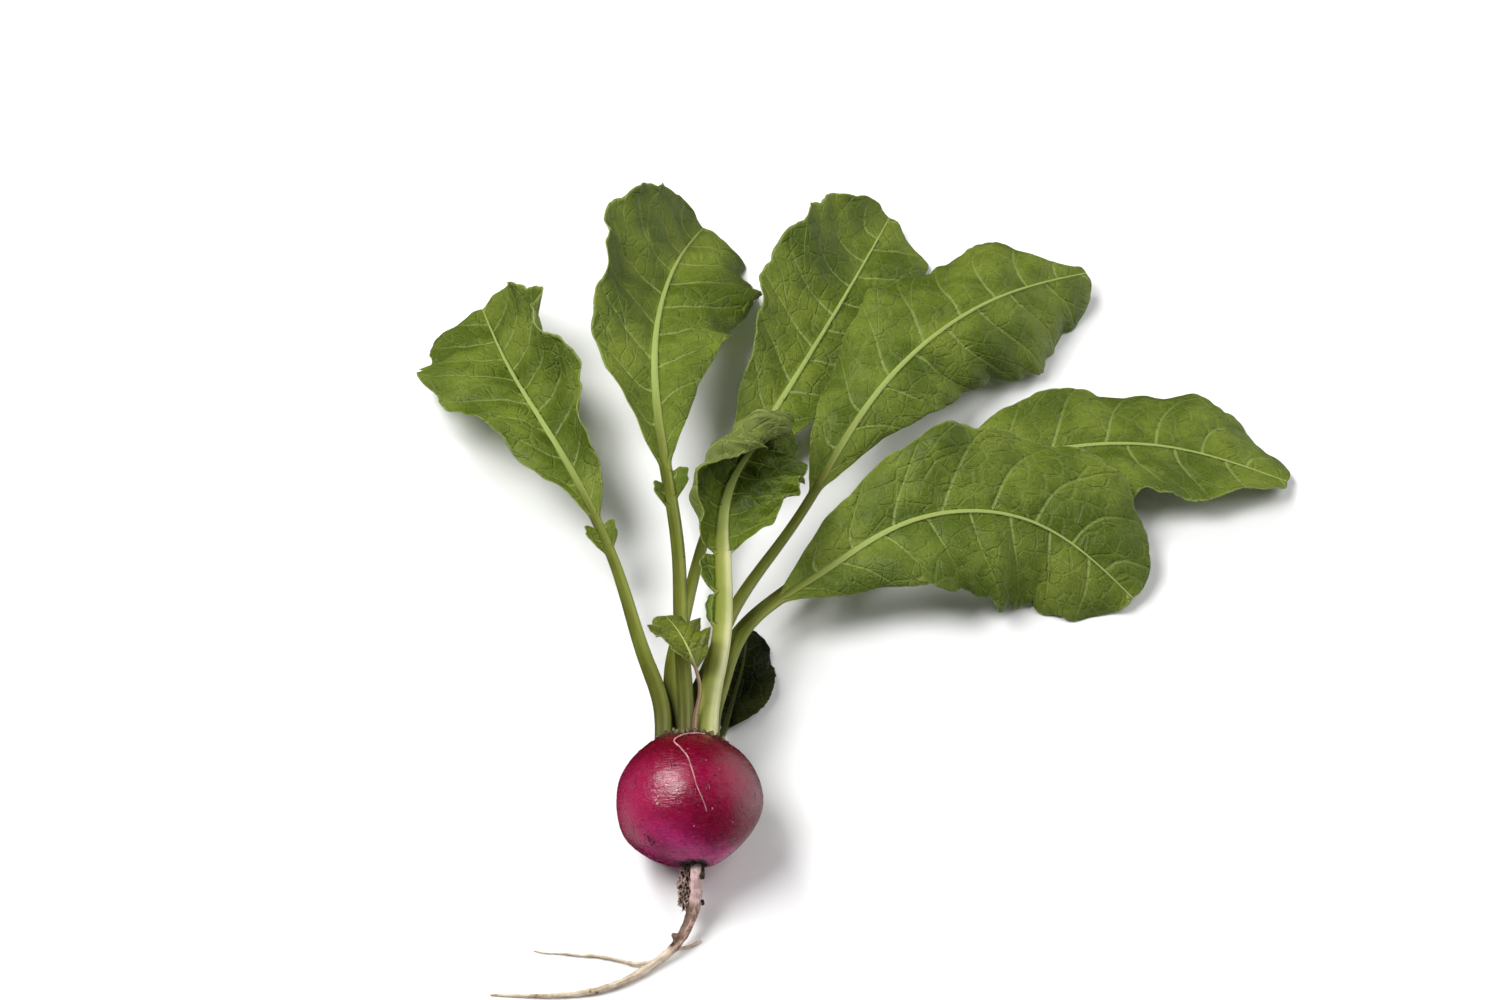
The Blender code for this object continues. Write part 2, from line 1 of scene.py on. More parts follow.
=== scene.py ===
"""Looks of the purple radish: its skin, its leaves, and the soil and fine roots that cling to it.

The root lies on the plane z = 0, +Y runs from the taproot towards the leaf tips, and +Z is up. Shapes
are worked out in millimetres, and make_mesh turns them into metres. Finishes, lamps and what is grown
over a piece are in metres.
"""

import math
from dataclasses import dataclass

import bmesh
import bpy
import numpy as np
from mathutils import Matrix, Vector, noise


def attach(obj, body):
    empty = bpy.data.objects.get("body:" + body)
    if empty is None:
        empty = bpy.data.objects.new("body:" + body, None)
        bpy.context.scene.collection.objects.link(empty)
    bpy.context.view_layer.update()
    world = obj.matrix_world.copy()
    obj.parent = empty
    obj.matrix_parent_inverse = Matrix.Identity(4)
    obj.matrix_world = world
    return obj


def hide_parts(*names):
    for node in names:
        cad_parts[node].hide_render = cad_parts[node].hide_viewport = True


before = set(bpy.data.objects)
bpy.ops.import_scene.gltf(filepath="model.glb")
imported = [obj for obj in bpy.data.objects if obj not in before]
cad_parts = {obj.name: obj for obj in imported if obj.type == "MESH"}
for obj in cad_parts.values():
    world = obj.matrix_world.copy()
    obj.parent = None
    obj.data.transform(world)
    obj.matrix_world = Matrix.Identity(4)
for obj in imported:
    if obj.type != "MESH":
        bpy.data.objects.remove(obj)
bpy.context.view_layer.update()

MM = 0.001

# Camera, as in the photograph
CAMERA_PLACE = (0.0146, -0.3948, 0.5997)
CAMERA_PITCH = math.radians(40)
CAMERA_LENS = 70

# Bulb, as in the solids, but with a narrower dimple
BULB_RADIUS = 17.5
BULB_HALF_LENGTH = 16.4
BULB_CENTRE = np.array([0.0, -0.5, 17.1])
BULB_FULLNESS = 0.94
BULB_CHEEK = 0.05
BULB_SLACK = 0.18
BULB_LUMPS = [(2, 0.012, 0.6), (3, 0.010, 0.47)]
CROWN_TILT = math.radians(18)
CROWN_CUT = math.radians(7)
DIMPLE_EDGE = math.radians(173)
DIMPLE_DEPTH = 1.6
ROOT_END_SHIFT = (1.8, 3.6)  # how far right of its axis and above it the bulb ends in the taproot
BULB_RINGS = 110
RING_SIDES = 128

# Taproot, as in the solids, with more detail in its thickness, finer side roots and a knob
TAPROOT_KNOTS = [
    (1.7, -22.6, 8.2),
    (0.2, -26.6, 5.2),
    (-2.8, -31.4, 2.9),
    (-7.3, -35.3, 1.7),
    (-17.2, -41.4, 1.2),
    (-30.5, -43.9, 0.7),
    (-46.4, -43.5, 0.3),
]
TAPROOT_SHARES = (0, 0.05, 0.12, 0.2, 0.27, 0.36, 0.5, 0.65, 0.82, 0.96, 1)
TAPROOT_RADII = (1.5, 1.3, 1.35, 1.42, 1.2, 1.05, 0.92, 0.72, 0.48, 0.32, 0.2)
TAPROOT_RINGS = 260
KNOB = (0.303, math.pi * 0.88, 1.2)  # share of the taproot, side, height
SIDE_ROOTS = [
    (0.40, [(-11.4, -35.5, 1.1), (-18.0, -34.1, 0.7), (-27.0, -32.8, 0.5), (-36.9, -31.6, 0.3)], 0.55, 0.16),
    (0.345, [(-0.4, -31.0, 1.0), (2.9, -28.9, 0.5)], 0.48, 0.32),
]

# Stray rootlet, as in the solids but finer, and the soil clod, which is a little larger
STRAY_KNOTS = [(31, 66), (34, 92), (46, 104), (62, 94), (84, 86), (114, 74)]
STRAY_RADIUS = 0.18
STRAY_LIFT = 0.35  # how far its middle stands off the skin
CLOD_CENTRE = (-0.25, -18.3, 9.0)
CLOD_HALF_SIZES = (1.95, 5.3, 2.2)
CLOD_SLOPE = (0.08, 0.55)  # shift right and rise of the clod for each millimetre towards the bulb
CLOD_ROUGHNESS = 0.75
CLOD_GRAIN = 2.3
NET = (0.82, 0.50, 0.36)  # meshes of the net of root hairs on the clod, how far it stands out, its threads
# Painted sheen: a paler patch painted on the left cheek, where light and the table's reflection fall
PAINTED_SHEEN = (108, 150, 0.60)  # latitude and longitude of the paler cheek, and its radius in radians

# Grains stuck to the bulb: latitude and longitude in degrees, and radius
PALE_GRAINS = [
    (127, 84, 0.22), (111, 69, 0.18), (119, 46, 0.17), (107, 115, 0.42), (104, 116, 0.34), (101, 114, 0.22),
    (70, 75, 0.15), (129, 137, 0.15),
]
DARK_GRAINS = [
    (139, 134, 0.30), (136, 137, 0.36), (133, 136, 0.26), (130, 138, 0.20), (141, 139, 0.20), (83, 68, 0.28),
    (80, 64, 0.2), (85, 71, 0.18), (105, 150, 0.14), (118, 133, 0.13), (97, 143, 0.12), (127, 121, 0.14),
]
SPIRAL_STEP = 137.5  # degrees from one scale of the crown to the next
SCALES = (44, 8, 27, (0.42, 0.95, 0.36))  # number, from and to latitude, half sizes
# Chips of soil at the neck: share of the taproot, distance to the right, and half sizes
CHIPS = [(0.055, 1.5, (0.75, 1.5, 0.8)), (0.165, 1.75, (0.45, 0.75, 0.45))]

# Bands where crumbs of soil lie: middle and spread, as a share up the bulb (below 0) or down the taproot
COLLAR_BAND = (0.008, 0.013)
CROWN_BAND = (-0.9, 0.07)
# Crumbs: the reading that they follow, number to a square metre, least and most size, and seed
CRUMBS = {
    "collar_crumbs": ("soil", 7.0e6, 0.00012, 0.00042, 3),
    "crown_crumbs": ("crown", 1.4e6, 0.00015, 0.00060, 8),
    "skin_specks": ("specks", 3.0e4, 0.00006, 0.00016, 12),
}
# Root hairs on the clod: number to a square metre, least and most length, seed, and thickness as a share
CRUST_HAIRS = (2.6e5, 0.0010, 0.0022, 4, 0.045)
HAIR_TILT = 0.2  # radians
HAIR_TAPER = 0.6  # share of the thickness that is lost towards the far end
ANY_TURN = 3.1  # radians
HAIR_BOW = 0.12  # as a share of the length

# How finely a leaf is divided
RIB_STEPS = 4
WING_STEPS = 20
STALK_STATIONS = 90
LOBE_STATIONS = 40
BLADE_STATIONS = 230
TIP_CROWDING = 1.15

# Petiole and blade, as in the solids, but with a shallower groove and a real blade's thickness
SEAT_DEPTH = 11.0
SEAT_RISE = 10.0
STALK_CREST = 0.42
GROOVE_DEPTH = 0.12
GROOVE_WIDTH = 0.45
STALK_RIDGES = (11, 0.014)  # number round the petiole, height as a share of its radius
BLADE_THICKNESS = 0.5
MARGIN_THICKNESS = 0.34
BLADE_FULLNESS = (0.8, 0.55)  # from the base to the widest place, and beyond it
RIB_AT_TIP = 0.14
RIB_CREST = 0.55
RIB_BELLY = 0.62
RIB_LEAST = 0.35
WING_ONSET = 2.2
WING_REACH = 0.9
WING_LIFT = 0.1
SWEEP = ((0, 0.06, 0.6, 1), (0.6, 0.32, 0.42, 0.22))
PAST_TIP = 24
VEIN_GROOVE = 0.16
VEIN_RIDGE = 0.26
VEIN_SPREAD = 0.16  # as a share of half the distance between two side veins
PUCKER = 1.05  # rise of the blade between two side veins
CRUMPLE = (1.2, 15.0)  # height and size of the blade's uneven swells
CREASES = (0.34, 4.2)  # height and size of its finer creases
RUFFLE = (0.55, 11)  # height of the margin's small waves, and their number
SCALLOPS = (26, 0.016)  # small teeth along a margin, and their depth


@dataclass
class Leaf:
    """One leaf. Pairs are left and right, triples are at the base, middle and tip of the blade."""

    seat: tuple  # place on the crown: across, then up
    route: list  # points that the midrib passes after the crown
    blade_from: float  # share of the length where the blade starts
    width: tuple  # widest half width
    stalk: tuple = (4.2, 3.2)  # width and depth of the petiole at the crown
    widest: tuple = (0.58, 0.58)  # share of the blade where each wing is widest
    waist: float = 0.64  # width of the petiole where the blade starts, as a share
    lean: float = 1.0  # how far the wings lean towards the tip, as a share of the usual lean
    fold: tuple = ((15, 8, 0), (15, 8, 0))  # rise of each wing beside the rib
    curl: tuple = ((0, 0, 0), (0, 0, 0))  # turn of each wing from rib to margin
    roll: tuple = (0, 0, 0)  # turn of the blade about its rib, right side down
    wave: tuple = (2.5, 3.2)  # height of the margin's waves, and their number
    phase: float = 0.0
    teeth: tuple = (8, 0.08)  # number along a margin, and their depth
    lobes: tuple = ()  # side (-1 left), distance below the blade, length, width
    rests: bool = True  # whether its lowest point comes down to the table
    veins: int = 9  # side veins on each side
    fan: float = 0.0  # how far the veins spread from the blade's base towards its tip
    crinkle: float = 1.0  # how crumpled it is, as a share of the usual height of its creases
    slot: str = "leaf"
    finish: str = "green_blade"


# Leaves, as in the solids, with smaller teeth on the front and the low one
LEAVES = {
    "leaf_front": Leaf(
        seat=(4.3, 1.6), stalk=(5.5, 4.4), waist=0.8, blade_from=0.523, width=(23, 17), widest=(0.5, 0.4),
        route=[(7.2, 38, 27.7), (7.9, 60, 29.3), (7.8, 76, 31), (11, 91, 31), (17, 103, 30), (23, 114, 26)],
        fold=((22, 18, 25), (28, 14, 0)), curl=((35, 222, 235), (5, -10, -50)), roll=(0, 2, 10), lean=0.35,
        wave=(2.2, 4.2), phase=0.3, teeth=(6, 0.06), lobes=((-1, 6, 11, 4.4), (-1, 17, 10, 2.6)),
        rests=False, veins=8, crinkle=3.4, finish="front_blade",
    ),
    "leaf_young": Leaf(
        seat=(1.6, 4.9), stalk=(1.4, 1.3), blade_from=0.53, width=(6.0, 6.6), widest=(0.6, 0.42),
        route=[(2.5, 22, 30.4), (1.2, 28.5, 33), (-2.4, 36.5, 34.6), (-6.4, 43.5, 33)],
        fold=((25, 18, 5), (25, 18, 5)), curl=((10, -30, -50), (0, -40, -60)), roll=(0, 10, 20),
        wave=(1.4, 3.4), teeth=(4, 0.15), rests=False, veins=6, fan=1.6,
        slot="young_leaf", finish="young_blade",
    ),
    "leaf_middle": Leaf(
        seat=(-0.8, 2.2), stalk=(3.9, 3.7), waist=0.85, blade_from=0.44, width=(25, 24), widest=(0.58, 0.6),
        route=[(-2.4, 42, 26), (-3.4, 68, 26), (-8.5, 108, 28), (-11, 148, 26), (-6, 184, 18), (1, 210, 6)],
        fold=((34, 30, 25), (24, 18, 5)), curl=((-10, 25, 50), (-15, -50, -40)), roll=(0, 4, 12),
        wave=(2.8, 3.0), phase=0.9, teeth=(8, 0.07), lobes=((1, 6, 9, 4.2), (-1, 9, 8, 3.0)),
    ),
    "leaf_left": Leaf(
        seat=(-6.5, 0.8), stalk=(4.3, 3.7), blade_from=0.44, width=(23, 21), widest=(0.6, 0.56),
        route=[(-11, 38, 22), (-19, 68, 23), (-33, 104, 25), (-50, 142, 19), (-61, 177, 8)],
        fold=((38, 34, 15), (32, 28, 20)), curl=((0, -40, -40), (10, 55, 40)), roll=(0, -8, -16),
        wave=(3.0, 3.4), phase=2.1, lobes=((-1, 7, 9, 3.8), (1, 6, 8, 3.0)),
    ),
    # The low leaf lies under the others, and its finish is painted in their shade
    "leaf_low": Leaf(
        seat=(3.6, -8.3), stalk=(2.8, 2.3), blade_from=0.45, width=(8, 8.5), widest=(0.46, 0.36),
        route=[(6.5, 26, 7.6), (9.8, 38, 5.5), (12.6, 50, 5.5), (14, 63, 5)],
        fold=((5, 0, -5), (15, 5, -5)), curl=((0, -10, -20), (10, -20, -30)), roll=(0, 5, 0),
        wave=(1.3, 2.2), phase=1.0, teeth=(4, 0.05), veins=6, slot="dark_leaf", finish="dark_blade",
    ),
    "leaf_right": Leaf(
        seat=(5.3, -4.6), stalk=(4.2, 3.1), blade_from=0.34, width=(25, 24), widest=(0.6, 0.56),
        route=[(7.4, 34, 15.5), (12.5, 50, 17.5), (31, 69, 21.5), (56, 84, 27), (88, 87, 23), (114, 72, 10)],
        fold=((26, 24, 10), (20, 16, 0)), curl=((-5, -35, -25), (-30, -70, -55)), roll=(0, 12, 6),
        wave=(2.8, 3.4), phase=0.2, teeth=(9, 0.08),
    ),
    "leaf_far_right": Leaf(
        seat=(0.0, -1.8), blade_from=0.44, width=(23, 23), widest=(0.56, 0.62),
        route=[(4, 36, 20), (9, 54, 18), (26, 90, 18), (49, 130, 27), (80, 163, 27), (110, 186, 15)],
        fold=((16, 8, 0), (16, 6, -5)), curl=((-20, -50, -50), (-30, -75, -50)), roll=(0, 12, 16),
        wave=(2.6, 2.8), phase=1.6, teeth=(9, 0.06),
    ),
    "leaf_back": Leaf(
        seat=(-3.9, -3.2), blade_from=0.47, width=(24, 23), widest=(0.62, 0.58),
        route=[(-4.8, 34, 19), (-2.5, 58, 12), (4, 92, 9), (20, 130, 8), (40, 172, 9), (55, 210, 5)],
        fold=((22, 20, 15), (18, 12, 0)), curl=((0, 20, 50), (0, -40, -50)), roll=(0, 4, 8),
        wave=(2.6, 3.0), phase=2.8,
    ),
    "leaf_low_right": Leaf(
        seat=(-0.8, -7.5), blade_from=0.44, width=(21, 21), widest=(0.6, 0.56),
        route=[
            (4, 36, 11), (10, 52, 11.5), (24, 69, 12), (48, 93, 11),
            (88, 116, 11), (127, 121, 9), (159, 112, 5),
        ],
        fold=((16, 12, 0), (16, 6, 10)), curl=((0, -35, -40), (0, 10, 40)), roll=(0, 3, 6),
        wave=(2.6, 3.2), phase=0.6,
    ),
}

# Colours of the blades. Left and right are painted shade and painted light on the petiole's left and right
# sides, shaded is how much painted shade it gets towards the crown, and shaded_tip how much painted shade the
# blade gets towards its tip.
BLADES = {
    # painted shade: these petioles are painted a darker olive than the front one's, as if in the shade of the
    # leaves above
    "green_blade": dict(
        dark=(0.058, 0.090, 0.005), light=(0.138, 0.182, 0.018), vein=(0.27, 0.33, 0.09),
        below=(0.22, 0.27, 0.085), stalk=(0.100, 0.108, 0.010), left=(0.055, 0.062, 0.005),
        right=(0.22, 0.24, 0.060), shaded=0.6,
    ),
    "front_blade": dict(
        dark=(0.036, 0.060, 0.002), light=(0.100, 0.146, 0.006), vein=(0.30, 0.37, 0.09),
        below=(0.125, 0.145, 0.042), stalk=(0.25, 0.265, 0.060), left=(0.14, 0.155, 0.016),
        right=(0.59, 0.59, 0.33),
    ),
    "young_blade": dict(
        dark=(0.054, 0.074, 0.003), light=(0.132, 0.160, 0.010), vein=(0.36, 0.39, 0.12),
        below=(0.24, 0.28, 0.08), stalk=(0.16, 0.085, 0.055), left=(0.10, 0.050, 0.040),
        right=(0.30, 0.19, 0.14),
    ),
    # painted shade: the low leaf's colours are darkened as if it lay in the shade of the other leaves, and
    # shaded_tip paints it darker still towards its tip
    "dark_blade": dict(
        dark=(0.0025, 0.005, 0.0005), light=(0.036, 0.045, 0.006), vein=(0.035, 0.043, 0.009),
        below=(0.03, 0.04, 0.01), stalk=(0.06, 0.07, 0.015), left=(0.04, 0.05, 0.01),
        right=(0.09, 0.10, 0.03), shaded_tip=0.9,
    ),
}

# Lamps: place, size and energy. Gloss sees only the second group, which stands for the room's window and
# the pale table, so some of them are under the floor.
MATT_LAMPS = {
    "key": ((-0.46, 0.03, 0.83), 0.55, 8.5),
    "back": ((-0.60, 0.80, 0.95), 0.40, 8.5),
    "fill": ((0.80, 0.10, 0.90), 0.90, 6.5),
}
GLOSS_LAMPS = {
    "lamp_sheen": ((-0.418, 0.030, 0.865), 0.40, 11.0),
    "right_sheen": ((0.80, 0.29, 0.02), 1.45, 7.0),
    "low_right_sheen": ((0.48, 0.12, -0.62), 1.00, 1.1),
    "low_left_sheen": ((-0.63, -0.05, -0.47), 0.60, 0.85),
    "low_front_sheen": ((0.04, -0.60, -0.53), 1.10, 1.7),
}
LAMPS_AIM = Vector((0.0, 0.0, 0.017))

AXIS = np.array([0.0, math.cos(CROWN_TILT), math.sin(CROWN_TILT)])
ACROSS = np.array([1.0, 0.0, 0.0])
RISE = np.cross(ACROSS, AXIS)


def turns_round(count):
    """Angles of so many points, evenly round a circle."""
    return np.arange(count) * 2 * math.pi / count


def lengths_along(points):
    return np.concatenate([[0], np.cumsum(np.linalg.norm(np.diff(points, axis=0), axis=1))])


def tangents_of(points):
    ahead = np.gradient(points, axis=0)
    return ahead / np.linalg.norm(ahead, axis=1)[:, None]


def at_lengths(values, along, wanted):
    return np.stack([np.interp(wanted, along, values[:, k]) for k in range(values.shape[1])], axis=-1)


def eased(value):
    """0 below 0, 1 above 1, and a smooth step between them."""
    value = np.clip(value, 0, 1)
    return value * value * (3 - 2 * value)


def hump(value, spread):
    """1 where the value is 0, falling smoothly to 0 past that spread."""
    return np.exp(-((value / spread) ** 2))


def blended(triple, share):
    """The value at that share of the way along base, middle and tip."""
    return np.interp(share, (0, 0.5, 1), triple)


def swell(points, size, seed=0.0):
    """Smooth unevenness from about -1 to 1 at each point, with bumps of about that size."""
    shape = points.shape[:-1]
    spots = points.reshape(-1, points.shape[-1]) / size + seed
    if spots.shape[1] == 2:
        spots = np.column_stack([spots, np.full(len(spots), seed * 1.7)])
    return np.array([noise.noise(Vector(spot)) for spot in spots.tolist()]).reshape(shape) * 1.6


def smooth_route(knots, spacing):
    """Points about this far apart on the natural cubic spline through the knots."""
    knots = np.array(knots, float)
    chord, count = lengths_along(knots), len(knots)
    step = np.diff(chord)
    system, jumps = np.eye(count), np.zeros((count, 3))
    for i in range(1, count - 1):
        system[i, i - 1 : i + 2] = step[i - 1], 2 * (step[i - 1] + step[i]), step[i]
        jumps[i] = 6 * ((knots[i + 1] - knots[i]) / step[i] - (knots[i] - knots[i - 1]) / step[i - 1])
    bend = np.linalg.solve(system, jumps)
    at = np.linspace(0, chord[-1], max(8, int(chord[-1] / spacing)))
    i = np.clip(np.searchsorted(chord, at, side="right") - 1, 0, count - 2)
    before, after, h = (at - chord[i])[:, None], (chord[i + 1] - at)[:, None], step[i][:, None]
    return (
        (bend[i] * after**3 + bend[i + 1] * before**3) / (6 * h)
        + (knots[i] / h - bend[i] * h / 6) * after
        + (knots[i + 1] / h - bend[i + 1] * h / 6) * before
    )


def placed(name, data):
    """A new object in the scene."""
    thing = bpy.data.objects.new(name, data)
    bpy.context.scene.collection.objects.link(thing)
    return thing


def make_mesh(name, points, faces, material, readings=None):
    """A closed mesh with outward faces. Readings are values at its points, which the finishes look up."""
    mesh = bpy.data.meshes.new(name)
    mesh.from_pydata((np.asarray(points) * MM).tolist(), [], [list(map(int, face)) for face in faces])
    for reading, values in (readings or {}).items():
        kind, part = ("FLOAT", "value") if values.ndim == 1 else ("FLOAT_VECTOR", "vector")
        mesh.attributes.new(reading, kind, "POINT").data.foreach_set(part, values.astype(np.float32).ravel())
    outward = bmesh.new()
    outward.from_mesh(mesh)
    bmesh.ops.recalc_face_normals(outward, faces=outward.faces)
    outward.to_mesh(mesh)
    outward.free()
    mesh.shade_smooth()
    mesh.materials.append(material)
    return placed(name, mesh)


def fit(piece, slot, *nodes):
    """Hands a finished piece over: it moves with the root, and stands for these nodes."""
    if nodes:
        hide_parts(*nodes)
    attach(piece, "root")


def tube_between(rings):
    """Points and faces of a closed tube through the rings, with a pole at each end."""
    count, sides = rings.shape[:2]
    points = np.vstack([rings.reshape(-1, 3), rings[0].mean(axis=0), rings[-1].mean(axis=0)])
    first, last = count * sides, count * sides + 1
    faces = []
    for i in range(sides):
        j = (i + 1) % sides
        faces.append((first, j, i))
        faces.append((last, (count - 1) * sides + i, (count - 1) * sides + j))
        for k in range(count - 1):
            here, beyond = k * sides, (k + 1) * sides
            faces.append((here + i, here + j, beyond + j, beyond + i))
    return points, faces


def rings_round(route, radii, sides):
    """Rings round the route, each turned as little as possible from the last. Radii may vary round one."""
    ahead = tangents_of(route)
    side = ACROSS
    turns = turns_round(sides)
    rings = []
    for centre, forward, radius in zip(route, ahead, radii):
        side = side - forward * (side @ forward)
        side /= np.linalg.norm(side)
        up = np.cross(forward, side)
        spokes = np.outer(np.cos(turns), side) + np.outer(np.sin(turns), up)
        rings.append(centre + spokes * np.broadcast_to(radius, sides)[:, None])
    return np.array(rings)


def bulb_point(latitude, longitude, outset=0.0):
    """A point of the bulb. Latitude 0 is the crown, longitude 0 faces +X and 90 degrees faces up."""
    belt = np.sin(latitude)
    lumps = sum(height * np.sin(number * longitude + phase) for number, height, phase in BULB_LUMPS)
    low = np.maximum(0, -np.cos(latitude))
    left, right = np.maximum(0, -np.cos(longitude)), np.maximum(0, np.cos(longitude))
    cheek = (BULB_CHEEK * left - BULB_SLACK * right) * low**1.5
    radius = BULB_RADIUS * belt**BULB_FULLNESS * (1 + lumps * belt + cheek) + outset
    along = (BULB_HALF_LENGTH + outset) * np.cos(latitude)
    outward = np.multiply.outer(np.cos(longitude), ACROSS) + np.multiply.outer(np.sin(longitude), RISE)
    shift = np.multiply.outer(low**6, ROOT_END_SHIFT[0] * ACROSS + ROOT_END_SHIFT[1] * RISE)
    middle = BULB_CENTRE + np.asarray(along)[..., None] * AXIS + shift
    return middle + outward * np.asarray(radius)[..., None]


def bulb_relief(latitude, longitude):
    """Height of the skin's soft dents, the shoulders round the crown and the pleats round the dimple."""
    belt = np.sin(latitude)
    spots = np.stack([belt * np.cos(longitude), belt * np.sin(longitude), np.cos(latitude)], axis=-1)
    dents = 0.16 * swell(spots, 0.45, 3.0) + 0.05 * swell(spots, 0.16, 8.0)
    shoulders = 0.5 * hump(latitude, 0.42) * swell(spots * (1.4, 1.4, 0.2), 0.2, 5.0)
    pleats = 0.22 * hump(math.pi - latitude, 0.32) * swell(spots * (1, 1, 0.05), 0.045, 11.0)
    return dents + shoulders + pleats


def taproot_route():
    """The taproot's middle line, from the bottom of the dimple."""
    end = BULB_CENTRE + ROOT_END_SHIFT[0] * ACROSS + ROOT_END_SHIFT[1] * RISE
    dimple = end - AXIS * (BULB_HALF_LENGTH - DIMPLE_DEPTH)
    mouth = end - AXIS * (BULB_HALF_LENGTH + 1)
    return smooth_route([dimple, mouth, *TAPROOT_KNOTS], 0.25)


def taproot_rings():
    """Rings of the taproot with its lengthwise furrows, cross wrinkles and the knob on its side."""
    route = taproot_route()
    along = lengths_along(route)
    share = np.linspace(0, 1, TAPROOT_RINGS)
    girth, place = np.meshgrid(turns_round(RING_SIDES), share * along[-1])
    spots = np.stack([np.cos(girth), np.sin(girth), place / 2.2], axis=-1)
    furrows = 0.10 * swell(spots * (1, 1, 0.18), 0.34, 2.0)
    lumps = 0.13 * swell(spots, 0.9, 6.0)
    wrinkles = 0.05 * swell(spots * (0.25, 0.25, 1), 0.16, 9.0)
    away = np.minimum(np.abs(girth - KNOB[1]), 2 * math.pi - np.abs(girth - KNOB[1]))
    knob = KNOB[2] * np.exp(-((away / 0.75) ** 4) - ((place - KNOB[0] * along[-1]) / 0.85) ** 4)
    radii = np.interp(share, TAPROOT_SHARES, TAPROOT_RADII)[:, None] * (1 + furrows + lumps + wrinkles) + knob
    return rings_round(at_lengths(route, along, share * along[-1]), radii, RING_SIDES), share, np.cos(girth)


def make_root(finish):
    """Bulb, dimple and taproot as one skin, pressed flat where it rests, and its side roots."""
    latitudes = np.linspace(CROWN_CUT, DIMPLE_EDGE, BULB_RINGS)
    longitude, latitude = np.meshgrid(turns_round(RING_SIDES), latitudes)
    bulb = bulb_point(latitude, longitude, bulb_relief(latitude, longitude))
    taproot, share, side = taproot_rings()
    points, faces = tube_between(np.concatenate([bulb, taproot]))
    down = np.repeat(np.concatenate([latitudes / DIMPLE_EDGE - 1, share]), RING_SIDES)
    down = np.concatenate([down, [-1, 1]])
    side = np.concatenate([bulb[..., 0].ravel() * 0, side.ravel(), [0, 0]])
    # painted sheen: a paler patch painted on the left cheek, standing for light and the table's reflection
    # there
    centre = np.radians(PAINTED_SHEEN[:2])
    nearness = np.cos(latitude) * np.cos(centre[0])
    nearness += np.sin(latitude) * np.sin(centre[0]) * np.cos(longitude - centre[1])
    painted_sheen = hump(np.arccos(np.clip(nearness, -1, 1)), PAINTED_SHEEN[2]).ravel()
    painted_sheen = np.concatenate([painted_sheen, np.zeros(len(side) - len(painted_sheen))])
    route = taproot_route()
    for from_share, knots, thick, thin in SIDE_ROOTS:
        middle = smooth_route([route[int(from_share * len(route))], *knots], 0.5)
        middle[:, :2] += 0.25 * np.stack([swell(middle, 5.0, 1.0), swell(middle, 5.0, 4.0)], axis=-1)
        radii = np.linspace(thick, thin, len(middle)) * (1 + 0.18 * swell(middle, 1.3, 7.0))
        more, side_faces = tube_between(rings_round(middle, radii, 10))
        faces += [[corner + len(points) for corner in face] for face in side_faces]
        points = np.vstack([points, more])
        down = np.concatenate([down, np.full(len(more), 0.6)])
        side, painted_sheen = (np.concatenate([values, np.zeros(len(more))]) for values in (side, painted_sheen))
    points[:, 2] = np.maximum(points[:, 2], 0)
    soil, crown = (hump(down - middle, spread) for middle, spread in (COLLAR_BAND, CROWN_BAND))
    specks = ((down < -0.03) & (points[:, 2] > 2)) * 1.0
    readings = {"down": down, "side": side, "painted_sheen": painted_sheen, "soil": soil, "crown": crown, "specks": specks}
    return make_mesh("root_skin", points, faces, finish, readings)


def make_stray_rootlet(finish):
    """A fine root fibre that lies over the bulb, from beside the petioles down its front."""
    latitudes, longitudes = np.radians(np.array(STRAY_KNOTS, float)).T
    flat = smooth_route(np.column_stack([latitudes, longitudes, latitudes * 0]) * 17, 0.25)[:, :2] / 17
    share = np.linspace(0, 1, len(flat))
    wiggle = 0.012 * swell(flat, 0.18, 2.0)
    latitude, longitude = flat[:, 0], flat[:, 1] + wiggle
    lift = STRAY_RADIUS + STRAY_LIFT * np.sin(math.pi * share) ** 2 + bulb_relief(latitude, longitude)
    middle = bulb_point(latitude, longitude, lift)
    radii = STRAY_RADIUS * blended((1, 1.05, 0.6), share) * (1 + 0.12 * swell(middle, 0.9, 3.0))
    points, faces = tube_between(rings_round(middle, radii, 10))
    piece = make_mesh("stray_fibre", points, faces, finish)
    fit(piece, "rootlet", "stray_rootlet")


def make_soil_clod(finish):
    """A lumpy crust of soil that clings to the taproot."""
    ball = bmesh.new()
    bmesh.ops.create_icosphere(ball, subdivisions=6, radius=1)
    points, threads = [], []
    mesh_size, height, thickness = NET
    for vertex in ball.verts:
        fine = noise.noise(vertex.co * CLOD_GRAIN * 2.2)
        lump = noise.noise(vertex.co * CLOD_GRAIN + Vector((4, 1, 7))) + 0.5 * fine
        grain = 0.12 * noise.noise(vertex.co * 9) + 0.08 * noise.noise(vertex.co * 21)
        reach = np.array(vertex.co) * (1 + 0.25 * lump)
        near = noise.voronoi(Vector(reach * CLOD_HALF_SIZES) / mesh_size)[0]
        thread = float(eased(1 - (near[1] - near[0]) / thickness))
        threads.append(thread)
        rough = (CLOD_ROUGHNESS * lump + grain + height * (thread - 0.55)) * np.array(vertex.normal)
        offset = reach * CLOD_HALF_SIZES + rough
        offset[0] += CLOD_SLOPE[0] * offset[1]
        offset[2] += CLOD_SLOPE[1] * offset[1]
        points.append(np.array(CLOD_CENTRE) + offset)
    faces = [[corner.index for corner in face.verts] for face in ball.faces]
    ball.free()
    readings = {"soil": np.ones(len(points)), "net": np.array(threads)}
    return make_mesh("soil_crust", points, faces, finish, readings)


